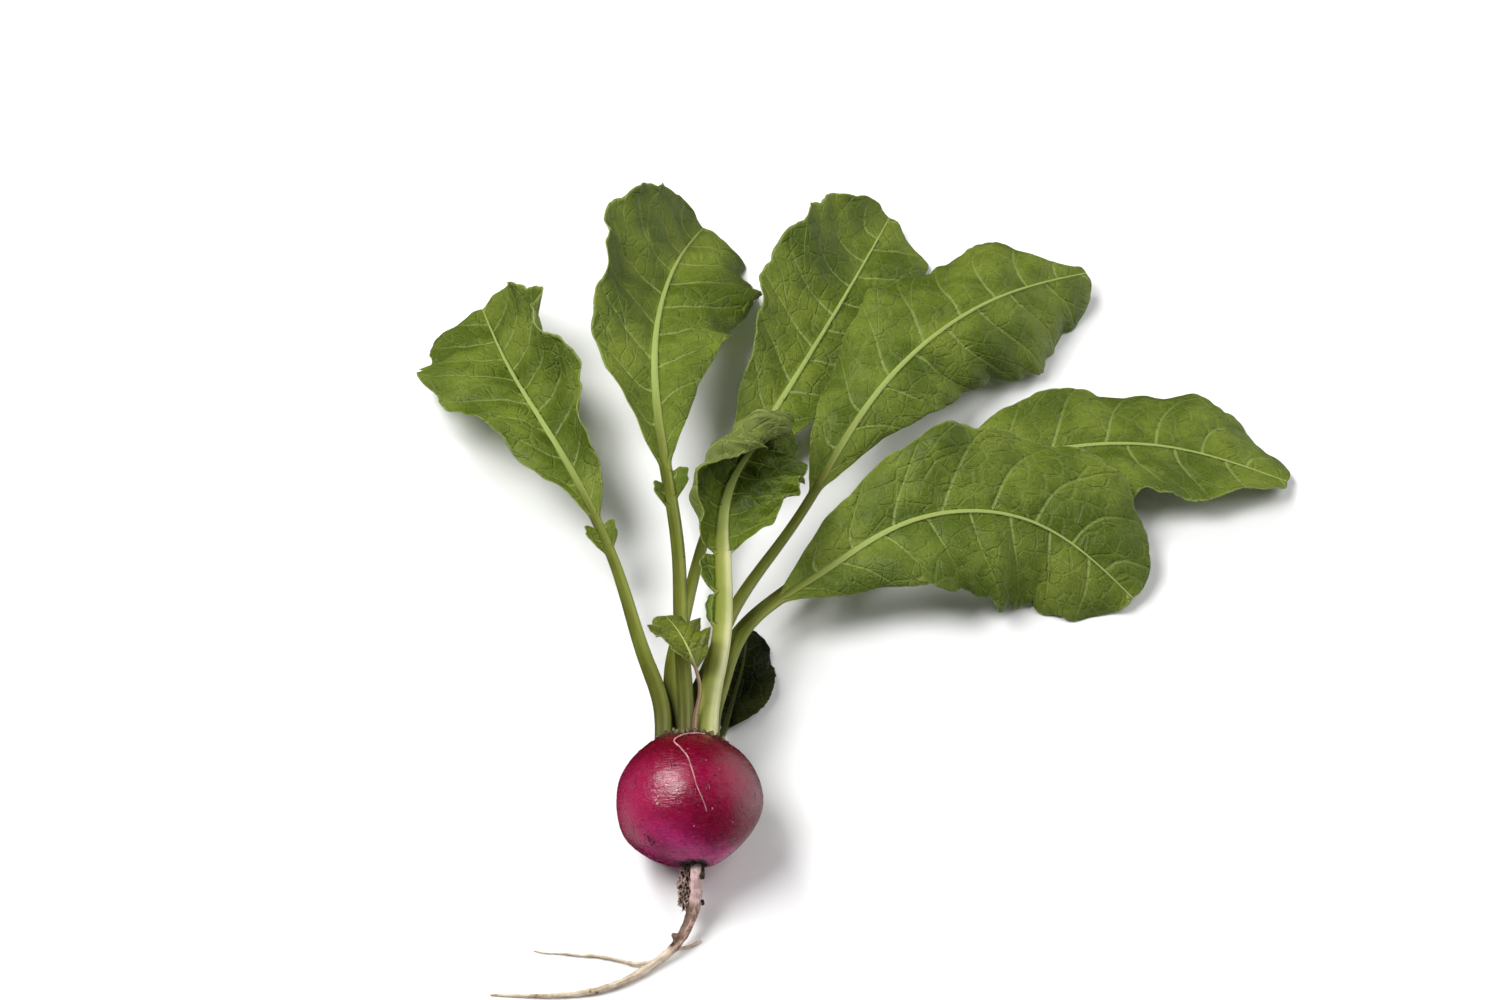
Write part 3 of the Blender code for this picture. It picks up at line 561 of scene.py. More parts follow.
def make_grains(name, places, finish, slot):
    """Small lumpy grains, each given by its place and its half sizes."""
    points, faces = [], []
    for number, (place, sizes) in enumerate(places):
        ball = bmesh.new()
        bmesh.ops.create_icosphere(ball, subdivisions=3, radius=1)
        faces += [[corner.index + len(points) for corner in face.verts] for face in ball.faces]
        for vertex in ball.verts:
            lump = 1 + 0.5 * noise.noise(vertex.co * 1.5 + Vector((number * 3.1, 0, 0)))
            points.append(place + np.array(vertex.co) * lump * sizes)
        ball.free()
    fit(make_mesh(name, points, faces, finish), slot)


def make_all_grains(soil, pale):
    """Pale and dark grains stuck to the bulb, and chips of soil on the right of the taproot's neck."""
    kinds = (("pale_grains", PALE_GRAINS, pale, "rootlet"), ("dark_grains", DARK_GRAINS, soil, "soil"))
    for name, grains, finish, slot in kinds:
        latitudes, longitudes, sizes = np.array(grains).T
        latitudes, longitudes = np.radians((latitudes, longitudes))
        places = bulb_point(latitudes, longitudes, bulb_relief(latitudes, longitudes) + 0.03)
        make_grains(name, list(zip(places, sizes)), finish, slot)
    route = taproot_route()
    chips = [(route[int(share * len(route))] + ACROSS * right, sizes) for share, right, sizes in CHIPS]
    make_grains("soil_chips", chips, soil, "soil")


def make_crown_scales(finish):
    """Dry stubs and scales of shed leaves, set in a spiral between the petioles on the crown."""
    count, nearest, furthest, sizes = SCALES
    number = np.arange(count)
    longitudes = np.radians(number * SPIRAL_STEP)
    latitudes = np.radians(nearest + (furthest - nearest) * np.sqrt(number / count))
    places = bulb_point(latitudes, longitudes, bulb_relief(latitudes, longitudes) + 0.25)
    make_grains("crown_scales", [(place, sizes) for place in places], finish, "rootlet")


def midrib(leaf):
    """The midrib's route with its lengths, the leaf's length, and the directions right and up along it."""
    seat = BULB_CENTRE + ACROSS * leaf.seat[0] + RISE * leaf.seat[1]
    knots = [seat + AXIS * SEAT_DEPTH, seat + AXIS * (SEAT_DEPTH + SEAT_RISE), *leaf.route]
    route = smooth_route(knots, 1.0)
    length = lengths_along(route)[-1]
    ahead = tangents_of(route)
    route = np.vstack([route, route[-1] + np.outer(np.arange(1, PAST_TIP + 1), ahead[-1])])
    ahead = np.vstack([ahead, np.repeat(ahead[-1:], PAST_TIP, axis=0)])
    along = lengths_along(route)
    right = np.cross(ahead, (0, 0, 1))
    right /= np.linalg.norm(right, axis=1)[:, None]
    up = np.cross(right, ahead)
    in_blade = (along / length - leaf.blade_from) / (1 - leaf.blade_from)
    roll = np.radians(blended(leaf.roll, in_blade))[:, None]
    rolled_right = right * np.cos(roll) - up * np.sin(roll)
    rolled_up = up * np.cos(roll) + right * np.sin(roll)
    return route, along, length, rolled_right, rolled_up


def wing_width(leaf, hand, share, below):
    """Half width on one side at that share of the blade, or of the lobes that far below its start."""
    inside = np.clip(share, 0, 1)
    widest = leaf.widest[hand > 0]
    full = np.sin(math.pi * inside ** (math.log(0.5) / math.log(widest)))
    full **= np.where(inside < widest, *BLADE_FULLNESS)
    count, depth = leaf.teeth
    tooth = np.abs(np.sin(math.pi * (inside * count + 0.3 * hand))) - 2 / math.pi
    small, shallow = SCALLOPS
    uneven = inside * small + 0.5 * np.sin(inside * 17 + hand) + leaf.phase
    scallop = np.abs(np.sin(math.pi * uneven)) - 2 / math.pi
    edge = 1 + (depth * tooth + shallow * scallop) * eased(inside * 4)
    width = leaf.width[hand > 0] * full * edge
    for lobe_hand, distance, length, reach in leaf.lobes:
        if lobe_hand == hand:
            near = 1 - (2 * (below - distance) / length) ** 2
            uneven = 1 + 0.08 * np.sin(below * 1.7 + distance)
            width = np.maximum(width, reach * uneven * np.sqrt(np.clip(near, 0, 1)))
    return width


def vein_place(leaf, hand, share, steps):
    """Place among the side veins, which are at whole numbers, for each station and step across."""
    clipped = np.clip(share, -0.2, 1)[:, None]
    wander = 0.1 * np.sin(9 * clipped + 4 * steps + hand)
    return leaf.veins * clipped + 0.22 * hand - 0.35 * steps**2 - leaf.fan * steps + wander


def wing_section(leaf, hand, share, width):
    """Places across, ahead and up from the rib to the margin, the slope there, and how near a vein it is."""
    steps = np.linspace(0, 1, WING_STEPS)
    reach = np.outer(width, steps)
    fold = np.radians(blended(leaf.fold[hand > 0], share))[:, None]
    turn = np.radians(blended(leaf.curl[hand > 0], share))[:, None] * eased(width / 6)[:, None]
    bend = turn / np.maximum(width, 1)[:, None]
    bend = np.where(np.abs(bend) < 1e-4, 1e-4, bend)
    slope = fold + bend * reach
    across = (np.sin(slope) - np.sin(fold)) / bend
    rise = (np.cos(fold) - np.cos(slope)) / bend
    height, count = leaf.wave
    fading = np.sqrt(np.clip(np.sin(math.pi * share), 0, 1)) * eased(width / 8)
    swing = height * fading * np.sin(2 * math.pi * count * share + leaf.phase + 1.3 * hand)
    wave = np.outer(swing, steps**1.8)
    lean = leaf.lean * np.interp(share, *SWEEP)[:, None]
    forward = reach * lean * (0.6 + 0.4 * steps)

    place = vein_place(leaf, hand, share, steps)
    off_vein = np.abs(place - np.round(place)) * 2
    size = np.clip(width / 20, 0, 1)[:, None]
    bulge = PUCKER * size * (off_vein**0.7 - 0.5) * np.sin(math.pi * np.clip(steps, 0, 1) ** 0.8) ** 0.6
    spots = np.stack([reach * hand, forward + share[:, None] * 90], axis=-1)
    swells = CRUMPLE[0] * size * swell(spots, CRUMPLE[1], leaf.phase + 2.3 * hand) * eased(steps * 3)
    creases = swell(spots, CREASES[1], leaf.phase + 7.7 * hand) * eased(steps * 4)
    swells += leaf.crinkle * CREASES[0] * size * creases
    ruffle = np.sin(2 * math.pi * RUFFLE[1] * share + 5 * np.sin(3 * share) + hand)
    ruffles = RUFFLE[0] * size * ruffle[:, None]
    moved = wave + bulge + swells + ruffles * steps**4
    near_vein = hump(off_vein, VEIN_SPREAD) * (1 - 0.75 * steps) * size
    return across - moved * np.sin(slope), forward, rise + moved * np.cos(slope), slope, near_vein


def stalk_sections(leaf, share, stalk):
    """Half width and depth of the petiole and the rib, as the leaf narrows from the crown to its tip."""
    petiole = 1 - (1 - leaf.waist) * eased(stalk)
    rib = leaf.waist * (1 - (1 - RIB_AT_TIP) * np.clip(share, 0, 1) ** 0.8)
    taper = np.where(share < 0, petiole, rib)
    return leaf.stalk[0] / 2 * taper, leaf.stalk[1] * taper


def leaf_surface(leaf, stations):
    """Upper and lower faces as grids of stations by columns, from the left margin to the right one.

    The readings have the same grids: how far across and along the blade a point is, its place among the
    side veins, whether it is on the rib, and where it would be if the leaf were pressed flat.
    """
    route, along, length, right, up = midrib(leaf)
    start = leaf.blade_from * length
    share = (stations - start) / (length - start)
    in_blade = np.clip(share, 0, 1)
    half, depth = stalk_sections(leaf, share, stations / start)
    columns = np.arange(-RIB_STEPS - WING_STEPS, RIB_STEPS + WING_STEPS + 1)
    rib = np.abs(columns) <= RIB_STEPS
    turns = math.pi / 2 - columns * math.pi / len(columns)
    groove = hump(np.cos(turns), GROOVE_WIDTH)
    number, ridge_height = STALK_RIDGES
    size = (len(stations), len(columns))
    places = {face: np.zeros((*size, 3)) for face in (1, -1)}
    readings = {"across": np.zeros(size), "veins": np.zeros(size), "flat": np.zeros((*size, 3))}
    readings["side"] = np.repeat(np.cos(turns)[None, :], len(stations), axis=0)
    readings["flat"][..., 0] = np.outer(half + depth / 2, math.pi / 2 - turns) / 2
    readings["flat"][..., 1] = stations[:, None]
    for face, part_of_depth in ((1, STALK_CREST), (-1, 1 - STALK_CREST)):
        ridged = 1 + ridge_height * np.cos(number * turns + 0.02 * stations[:, None] * face)
        places[face][..., 0] = half[:, None] * np.cos(turns) * ridged
        places[face][..., 2] = face * part_of_depth * depth[:, None] * np.sin(turns) * ridged
    places[1][..., 2] -= GROOVE_DEPTH * np.outer(depth, groove)
    opened = np.zeros(size)
    for hand in (-1, 1):
        width = wing_width(leaf, hand, share, start - stations)
        flat = eased(width / WING_ONSET)
        opened += flat[:, None] * np.where(columns == 0, 0.5, columns * hand > 0)
        across, forward, rise, slope, near_vein = wing_section(leaf, hand, in_blade, width)
        thick = np.linspace(BLADE_THICKNESS, MARGIN_THICKNESS, WING_STEPS) / 2
        wing = np.flatnonzero(columns * hand > RIB_STEPS)[::hand]
        steps = np.linspace(0, 1, WING_STEPS)
        readings["across"][:, wing] = hand * np.clip(steps * flat[:, None], 0, 1)
        readings["veins"][:, wing] = vein_place(leaf, hand, share, steps)
        pressed = hand * (half[:, None] + np.outer(width, steps))
        spread = np.stack([pressed, stations[:, None] + forward], axis=-1)
        mix = flat[:, None, None]
        readings["flat"][:, wing, :2] = readings["flat"][:, wing, :2] * (1 - mix) + spread * mix
        for face, relief in ((1, -VEIN_GROOVE), (-1, VEIN_RIDGE)):
            outset = thick + relief * near_vein
            beside = hand * (half[:, None] * WING_REACH + across - face * outset * np.sin(slope))
            above = WING_LIFT + rise + face * outset * np.cos(slope)
            blade = np.stack([beside, forward, above], axis=-1)
            places[face][:, wing] = places[face][:, wing] * (1 - mix) + blade * mix
    spread = columns[rib] / (RIB_STEPS + 0.6)
    crest = WING_LIFT + RIB_CREST * BLADE_THICKNESS + 0.12 * depth[:, None] * (1 - spread**2)
    dome = STALK_CREST * np.sqrt(1 - spread**2) - GROOVE_DEPTH * hump(spread, GROOVE_WIDTH)
    crest += (depth[:, None] * dome - crest) * (1 - eased(share / 0.22)[:, None])
    belly = -np.maximum(RIB_BELLY * depth, RIB_LEAST)[:, None] * np.sqrt(1 - 0.75 * spread**2)
    mix = opened[:, rib]
    for face, level in ((1, crest), (-1, belly)):
        places[face][:, rib, 0] = places[face][:, rib, 0] * (1 - mix) + np.outer(half, spread) * mix
        places[face][:, rib, 2] = places[face][:, rib, 2] * (1 - mix) + level * mix
    readings["veins"][:, rib] = vein_place(leaf, 1, share, np.zeros(1))
    readings["flat"][:, rib, 0] += (np.outer(half, spread) - readings["flat"][:, rib, 0]) * mix
    readings["side"][:, rib] += (spread - readings["side"][:, rib]) * mix
    readings["along"] = np.repeat(np.where(share < 0, stations / start - 1, share)[:, None], size[1], axis=1)
    readings["rib"] = 1 - opened * (1 - rib)
    grids = []
    for face in (1, -1):
        at = stations[:, None] + places[face][..., 1]
        middle = at_lengths(route, along, at)
        sideways = at_lengths(right, along, at) * places[face][..., :1]
        grids.append(middle + sideways + at_lengths(up, along, at) * places[face][..., 2:])
    return grids, readings


def leaf_stations(leaf, length):
    """Distances along the midrib at which the leaf has a section, closer together towards its tip."""
    start = leaf.blade_from * length
    lobes_from = start - max([distance + long / 2 for _, distance, long, _ in leaf.lobes], default=3)
    blade = 1 - (1 - np.linspace(0, 1, BLADE_STATIONS + 1)[1:]) ** TIP_CROWDING
    stalk = np.linspace(0, lobes_from, STALK_STATIONS)
    lobed = np.linspace(lobes_from, start, (LOBE_STATIONS if leaf.lobes else 1) + 1)[1:]
    return np.concatenate([stalk, lobed, start + blade * (length - start) * 0.998])


def settle(grids, stations):
    """Lets the leaf sag or rise, more towards the blade, until its lowest point meets the table."""
    weight = eased((stations / stations[-1] - 0.15) / 0.35)[:, None]
    for _ in range(6):
        lowest = min(grid[..., 2][weight[:, 0] > 0.9].min() for grid in grids)
        for grid in grids:
            grid[..., 2] -= weight * lowest


def leaf_faces(stations, columns):
    """Quads of both faces, the margins and the two ends."""
    lower = stations * columns
    k, i = np.meshgrid(np.arange(stations - 1), np.arange(columns - 1), indexing="ij")
    here = (k * columns + i).ravel()
    upper = np.stack([here, here + 1, here + columns + 1, here + columns], axis=-1)
    under = lower + upper[:, ::-1]
    left = np.arange(stations - 1) * columns
    right = left + columns - 1
    left_edge = np.stack([lower + left, left, left + columns, lower + left + columns], axis=-1)
    right_edge = np.stack([right, lower + right, lower + right + columns, right + columns], axis=-1)
    first = np.arange(columns - 1)
    last = first + (stations - 1) * columns
    start = np.stack([first + 1, first, lower + first, lower + first + 1], axis=-1)
    end = np.stack([last, last + 1, lower + last + 1, lower + last], axis=-1)
    return np.concatenate([upper, under, left_edge, right_edge, start, end])


def make_leaf(name, leaf, finishes):
    stations = leaf_stations(leaf, midrib(leaf)[2])
    grids, readings = leaf_surface(leaf, stations)
    if leaf.rests:
        settle(grids, stations)
    points = np.concatenate([grid.reshape(-1, 3) for grid in grids])
    both = {key: np.concatenate([value.reshape(-1, *value.shape[2:])] * 2) for key, value in readings.items()}
    both["under"] = np.repeat([0.0, 1.0], len(points) // 2)
    faces = leaf_faces(len(stations), grids[0].shape[1])
    piece = make_mesh(f"{name}_blade", points, faces, finishes[leaf.finish], both)
    fit(piece, leaf.slot, name)


class Reading:
    """A value that a node gives. Operators on it add Math nodes."""

    def __init__(self, owner, socket):
        self.owner, self.socket = owner, socket

    def __add__(self, other):
        return self.owner.math("ADD", self, other)

    def __sub__(self, other):
        return self.owner.math("SUBTRACT", self, other)

    def __rsub__(self, other):
        return self.owner.math("SUBTRACT", other, self)

    def __mul__(self, other):
        return self.owner.math("MULTIPLY", self, other)

    __rmul__ = __mul__

    def beside(self, output):
        """Another output of the same node."""
        return Reading(self.owner, self.socket.node.outputs[output])


class Nodes:
    """A node tree, and the method that adds a node to it."""

    def __init__(self, tree):
        self.tree = tree

    def node(self, kind, settings, inputs, output=0):
        """Adds a node, sets it up, then fills or links its sockets."""
        node = self.tree.nodes.new(kind)
        for key, value in settings.items():
            setattr(node, key, value)
        for key, value in inputs.items():
            self.feed(node.inputs[key], value)
        return Reading(self, node.outputs[output])

    def feed(self, socket, value):
        if isinstance(value, Reading):
            self.tree.links.new(value.socket, socket)
        elif socket.type == "RGBA":
            socket.default_value = (*value, 1)
        else:
            socket.default_value = value

    def math(self, operation, one, other=0.0):
        return self.node("ShaderNodeMath", {"operation": operation}, {0: one, 1: other})


class Finish(Nodes):
    """A material, and the patterns that it is painted with."""

    def __init__(self, name, **even):
        self.material = bpy.data.materials.new(name)
        self.material.use_nodes = True
        super().__init__(self.material.node_tree)
        self.shader = self.tree.nodes["Principled BSDF"]
        for key, value in even.items():
            self.shader.inputs[key.replace("_", " ")].default_value = value

    def read(self, name, output="Fac"):
        return self.node("ShaderNodeAttribute", {"attribute_name": name}, {}, output)

    def place(self):
        return self.node("ShaderNodeTexCoord", {}, {}, "Object")

    def stretched(self, at, stretch):
        return self.node("ShaderNodeVectorMath", {"operation": "MULTIPLY"}, {0: at, 1: stretch})

    def cloud(self, at, size, detail=4.0, roughness=0.55, warp=0.0):
        """Soft patches of about that size, from 0 to 1."""
        inputs = {"Vector": at, "Scale": 1 / size, "Detail": detail}
        inputs |= {"Roughness": roughness, "Distortion": warp}
        return self.node("ShaderNodeTexNoise", {}, inputs)

    def cells(self, at, size, feature="F1"):
        """Distance from the middle or the edge of cells of about that size."""
        inputs = {"Vector": at, "Scale": 1 / size}
        return self.node("ShaderNodeTexVoronoi", {"feature": feature}, inputs, "Distance")

    def between(self, value, low, high, to_low=0.0, to_high=1.0):
        """A smooth step: to_low where the value is at low, to_high where it is at high."""
        inputs = {"Value": value, "From Min": low, "From Max": high, "To Min": to_low, "To Max": to_high}
        return self.node("ShaderNodeMapRange", {"interpolation_type": "SMOOTHSTEP"}, inputs)

    def mixed(self, share, one, other):
        """One colour turning into the other as the share goes from 0 to 1."""
        return self.node("ShaderNodeMix", {"data_type": "RGBA"}, {0: share, 6: one, 7: other}, 2)

    def bumped(self, height, depth, under=None):
        """A bump of that depth in metres, on top of another one if it is given."""
        inputs = {"Height": height, "Distance": depth, "Strength": 1.0}
        if under is not None:
            inputs["Normal"] = under
        return self.node("ShaderNodeBump", {}, inputs)

    def finished(self, **inputs):
        for key, value in inputs.items():
            self.feed(self.shader.inputs[key.replace("_", " ")], value)
        return self.material


def skin_finish():
    """Crimson skin that turns purple-pink below, with specks, scratches, a painted sheen on its left cheek,
    and a dirty, pale taproot with painted shade on one side.
    """
    f = Finish("radish_skin", Specular_IOR_Level=0.5, Subsurface_Weight=0.03, Subsurface_Scale=0.002)
    f.shader.inputs["Subsurface Radius"].default_value = (1.0, 0.35, 0.45)
    at = f.place()
    down = f.read("down")
    broad = f.cloud(at, 0.014, 3)
    fine = f.cloud(at, 0.0022, 6, 0.6)
    crimson = f.mixed(f.between(broad, 0.36, 0.66), (0.150, 0.0008, 0.018), (0.250, 0.0018, 0.038))
    crimson = f.mixed(f.between(down, -0.48, -0.72), crimson, (0.108, 0.0002, 0.008))
    purple = f.mixed(f.between(broad, 0.35, 0.66), (0.170, 0.003, 0.052), (0.400, 0.020, 0.150))
    skin = f.mixed(f.between(down + 0.25 * (broad - 0.5), -0.33, -0.11), crimson, purple)
    skin = f.mixed(f.between(fine, 0.50, 0.75) * 0.20, skin, (0.30, 0.008, 0.07))
    skin = f.mixed(f.between(fine, 0.50, 0.28) * 0.30, skin, (0.06, 0.0004, 0.010))
    # painted sheen: the left cheek painted paler and pinker
    skin = f.mixed(f.read("painted_sheen") * 0.42, skin, (0.44, 0.030, 0.12))
    dusty = f.between(f.cloud(at, 0.009, 5, 0.65, 0.6), 0.52, 0.72)
    dust = dusty * f.between(f.cloud(at, 0.0007, 3), 0.35, 0.6)
    skin = f.mixed(dust * 0.05, skin, (0.30, 0.08, 0.12))
    belts = f.stretched(at, (1.0, 2.6, 2.6))
    pores = f.between(f.cells(belts, 0.0024), 0.13, 0.05) * f.between(f.cloud(at, 0.003), 0.52, 0.6)
    skin = f.mixed(pores * 0.7, skin, (0.55, 0.28, 0.33))
    scratched = f.cells(f.stretched(at, (1, 0.4, 1)), 0.0042, "DISTANCE_TO_EDGE")
    scratches = f.between(scratched, 0.030, 0.008) * f.between(f.cloud(at, 0.0045, 2), 0.57, 0.66)
    dots = f.between(f.cells(at, 0.0019), 0.16, 0.09) * f.between(f.cloud(at, 0.004), 0.5, 0.62)
    dirt = f.math("MAXIMUM", scratches * 0.75, dots * 0.8)
    skin = f.mixed(dirt, skin, (0.018, 0.004, 0.008))
    crown = f.between(down + 0.12 * (fine - 0.5), -0.93, -0.99)
    skin = f.mixed(crown * 0.85, skin, (0.09, 0.05, 0.02))

    neck = f.mixed(f.between(f.cloud(at, 0.0016, 4), 0.42, 0.62), (0.72, 0.51, 0.49), (0.52, 0.34, 0.33))
    cream = f.mixed(f.between(f.cloud(at, 0.003, 4), 0.4, 0.65), (0.62, 0.52, 0.40), (0.40, 0.31, 0.20))
    side = f.read("side")
    stained = f.between(down, 0.145, 0.19) * f.between(down, 0.36, 0.325)
    patches = f.cloud(f.stretched(at, (1, 0.6, 1)), 0.0016, 5, 0.7)
    root = f.mixed(f.between(side, 0.45, 0.95) * 0.5, neck, (0.34, 0.22, 0.26))
    root = f.mixed(f.between(down, 0.30, 0.37), root, cream)
    root = f.mixed(stained * 0.8, root, (0.44, 0.27, 0.19))
    root = f.mixed(f.between(patches, 0.44, 0.56) * stained * 0.75, root, (0.13, 0.066, 0.036))
    # painted shade: one side of the stained stretch is painted darker, broken up by the patches
    shaded = f.between(side + 2 * (patches - 0.5), 0.0, -0.5)
    root = f.mixed(shaded * stained * 0.85, root, (0.10, 0.052, 0.030))
    spots = f.between(down, 0.318, 0.328) * f.between(down, 0.345, 0.335) * f.between(side, -0.2, -0.6)
    root = f.mixed(spots * 0.9, root, (0.012, 0.008, 0.006))
    flecks = f.between(f.cells(at, 0.0022), 0.26, 0.16) * f.between(f.cloud(at, 0.003), 0.50, 0.60)
    root = f.mixed(flecks * f.between(down, 0.25, 0.40) * 0.85, root, (0.07, 0.035, 0.02))
    on_root = f.between(down + 0.02 * (fine - 0.5), -0.012, 0.012)
    colour = f.mixed(on_root, skin, root)
    ragged = f.cloud(at, 0.0016, 5, 0.7)
    collar = f.between(down + 0.12 * (ragged - 0.5), -0.040, -0.018) * f.between(down, 0.045, 0.03)
    colour = f.mixed(collar * 0.92, colour, (0.022, 0.012, 0.009))

    wrinkles = f.cloud(f.stretched(at, (1, 3, 3)), 0.0016, 5, 0.6)
    matt = f.math("MAXIMUM", f.math("MAXIMUM", on_root, collar), dust)
    roughness = f.between(wrinkles, 0.36, 0.64, 0.16, 0.34) + matt * 0.3
    relief = f.bumped(wrinkles, 0.00015)
    relief = f.bumped(fine, 0.00012, relief)
    relief = f.bumped(1 - dirt, 0.00008, relief)
    return f.finished(Base_Color=colour, Roughness=roughness, Normal=relief)


def blade_finish(name, dark, light, vein, below, stalk, left, right, shaded=0.0, shaded_tip=0.0):
    """A leaf, darker above and greyer below, with pale veins, and its petiole, with painted shade on its left
    side and towards the crown and painted light on its right side. BLADES says what each is.
    """
    f = Finish(name, Specular_IOR_Level=0.18)
    at, flat = f.place(), f.read("flat", "Vector")
    across = f.math("ABSOLUTE", f.read("across"))
    along, rib, under, veins = f.read("along"), f.read("rib"), f.read("under"), f.read("veins")
    off_rib = 1 - rib
    patches = f.cloud(at, 0.016, 4)
    fine = f.cloud(flat, 1.1, 4, 0.6)

    main = f.math("ABSOLUTE", veins - f.math("ROUND", veins))
    forked = veins - f.between(across, 0.3, 1.0) * 0.5
    fork = f.math("ABSOLUTE", forked - f.math("ROUND", forked))
    narrow = 1.15 - across
    main_line = f.between(main, 0.012, 0.055) * -1 + 1
    fork_line = (1 - f.between(fork, 0.008, 0.032)) * f.between(across, 0.32, 0.5)
    bent = f.stretched(flat, (1.0, 0.8, 1.0))
    net = 1 - f.between(f.cells(bent, 4.2, "DISTANCE_TO_EDGE"), 0.02, 0.085)
    small_net = 1 - f.between(f.cells(flat, 1.5, "DISTANCE_TO_EDGE"), 0.03, 0.14)
    lines = f.math("MAXIMUM", main_line * narrow, f.math("MAXIMUM", fork_line * 0.5, net * 0.16))
    lines = f.math("MINIMUM", lines, 1.0)

    upper = f.mixed(f.between(patches, 0.36, 0.66), dark, light)
    upper = f.mixed(f.between(fine, 0.35, 0.7) * 0.35, upper, dark)
    # painted shade: the blade painted darker towards its tip
    upper = f.mixed(f.between(along, 0.15, 0.75) * shaded_tip, upper, dark)
    upper = f.mixed(small_net * 0.07, upper, vein)
    upper = f.mixed(lines * 0.55, upper, vein)
    lower = f.mixed(f.between(patches, 0.36, 0.66) * 0.5, below, light)
    lower = f.mixed(f.math("MAXIMUM", lines * 0.7, net * 0.24), lower, vein)
    colour = f.mixed(under, upper, lower)
    colour = f.mixed(f.between(across, 0.965, 1.0) * 0.5, colour, vein)
    streaks = f.cloud(f.stretched(flat, (1.0, 0.045, 1.0)), 0.9, 3)
    side = f.read("side")
    petiole = f.mixed(f.between(streaks, 0.34, 0.66) * 0.25, stalk, vein)
    # painted shade on the petiole's left side, and painted light on its right side
    petiole = f.mixed(f.between(side, 0.10, -0.80) * 0.85, petiole, left)
    petiole = f.mixed(f.between(side, 0.0, 0.80) * 0.85, petiole, right)
    petiole = f.mixed(f.between(f.cloud(at, 0.012, 2), 0.42, 0.64) * 0.25, petiole, light)
    # painted shade: the petiole is painted darker towards the crown, where the petioles crowd together
    petiole = f.mixed(f.between(along, -0.50, -0.92) * shaded, petiole, (0.050, 0.050, 0.005))
    blotches = f.between(f.cloud(at, 0.0022, 5, 0.65), 0.46, 0.6) * f.between(along, -0.86, -0.97)
    petiole = f.mixed(blotches * 0.6, petiole, (0.13, 0.085, 0.025))
    midrib = f.mixed(f.between(along, 0.0, 0.35), petiole, vein)
    colour = f.mixed(rib, colour, midrib)
    specks = f.between(f.cells(at, 0.0065), 0.055, 0.035)
    colour = f.mixed(specks * 0.8, colour, (0.05, 0.03, 0.015))

    roughness = f.between(patches, 0.3, 0.7, 0.46, 0.6) + under * 0.12
    relief = f.bumped(net * off_rib * -1, 0.00022)
    relief = f.bumped(small_net * off_rib * -1, 0.00009, relief)
    relief = f.bumped(f.math("MAXIMUM", main_line, fork_line) * off_rib * -1, 0.00018, relief)
    relief = f.bumped(streaks * rib, 0.00014, relief)
    relief = f.bumped(fine * off_rib, 0.00008, relief)
    return f.finished(Base_Color=colour, Roughness=roughness, Normal=relief)


def fibre_finish(name, one, other):
    f = Finish(name, Specular_IOR_Level=0.35)
    at = f.place()
    patches = f.cloud(at, 0.0022, 4)
    colour = f.mixed(f.between(patches, 0.38, 0.64), one, other)
    flecks = f.between(f.cells(at, 0.0016), 0.22, 0.12)
    colour = f.mixed(flecks * 0.5, colour, (0.12, 0.07, 0.05))
    return f.finished(Base_Color=colour, Roughness=0.68, Normal=f.bumped(f.cloud(at, 0.0004, 3), 0.00008))


def soil_finish():
    f = Finish("damp_soil", Specular_IOR_Level=0.3)
    at = f.place()
    grain = f.cloud(at, 0.0009, 6, 0.7)
    colour = f.mixed(f.between(grain, 0.36, 0.66), (0.014, 0.008, 0.005), (0.075, 0.045, 0.028))
    colour = f.mixed(f.between(f.cells(at, 0.0011), 0.2, 0.1) * 0.4, colour, (0.16, 0.11, 0.075))
    threads = f.mixed(f.between(f.cloud(at, 0.0022), 0.48, 0.66), (0.56, 0.40, 0.35), (0.20, 0.140, 0.100))
    colour = f.mixed(f.between(f.read("net"), 0.46, 0.84), colour, threads)
    return f.finished(Base_Color=colour, Roughness=0.92, Normal=f.bumped(grain, 0.0004))


class Tree(Nodes):
    """A Geometry Nodes tree with named inputs."""

    def __init__(self, name, sizes):
        super().__init__(bpy.data.node_groups.new(name, "GeometryNodeTree"))
        face = self.tree.interface
        for side in ("INPUT", "OUTPUT"):
            face.new_socket("Geometry", in_out=side, socket_type="NodeSocketGeometry")
        sockets = [face.new_socket(key, in_out="INPUT", socket_type=kind) for key, kind in sizes.items()]
        self.identifiers = [socket.identifier for socket in sockets]
        self.inputs = self.tree.nodes.new("NodeGroupInput")

    def given(self, key):
        return Reading(self, self.inputs.outputs[key])

    def finish(self, geometry):
        """Ends the tree in plain mesh with its material."""
        plain = self.node("GeometryNodeRealizeInstances", {}, {"Geometry": geometry})
        inputs = {"Geometry": plain, "Material": self.given("Material")}
        shaded = self.node("GeometryNodeSetMaterial", {}, inputs)
        smooth = self.node("GeometryNodeSetShadeSmooth", {}, {0: shaded})
        self.feed(self.tree.nodes.new("NodeGroupOutput").inputs["Geometry"], smooth)
        return self


SCATTER_INPUTS = {
    "Material": "NodeSocketMaterial",
    "Count per area": "NodeSocketFloat",
    "Least size": "NodeSocketFloat",
    "Most size": "NodeSocketFloat",
    "Seed": "NodeSocketInt",
}


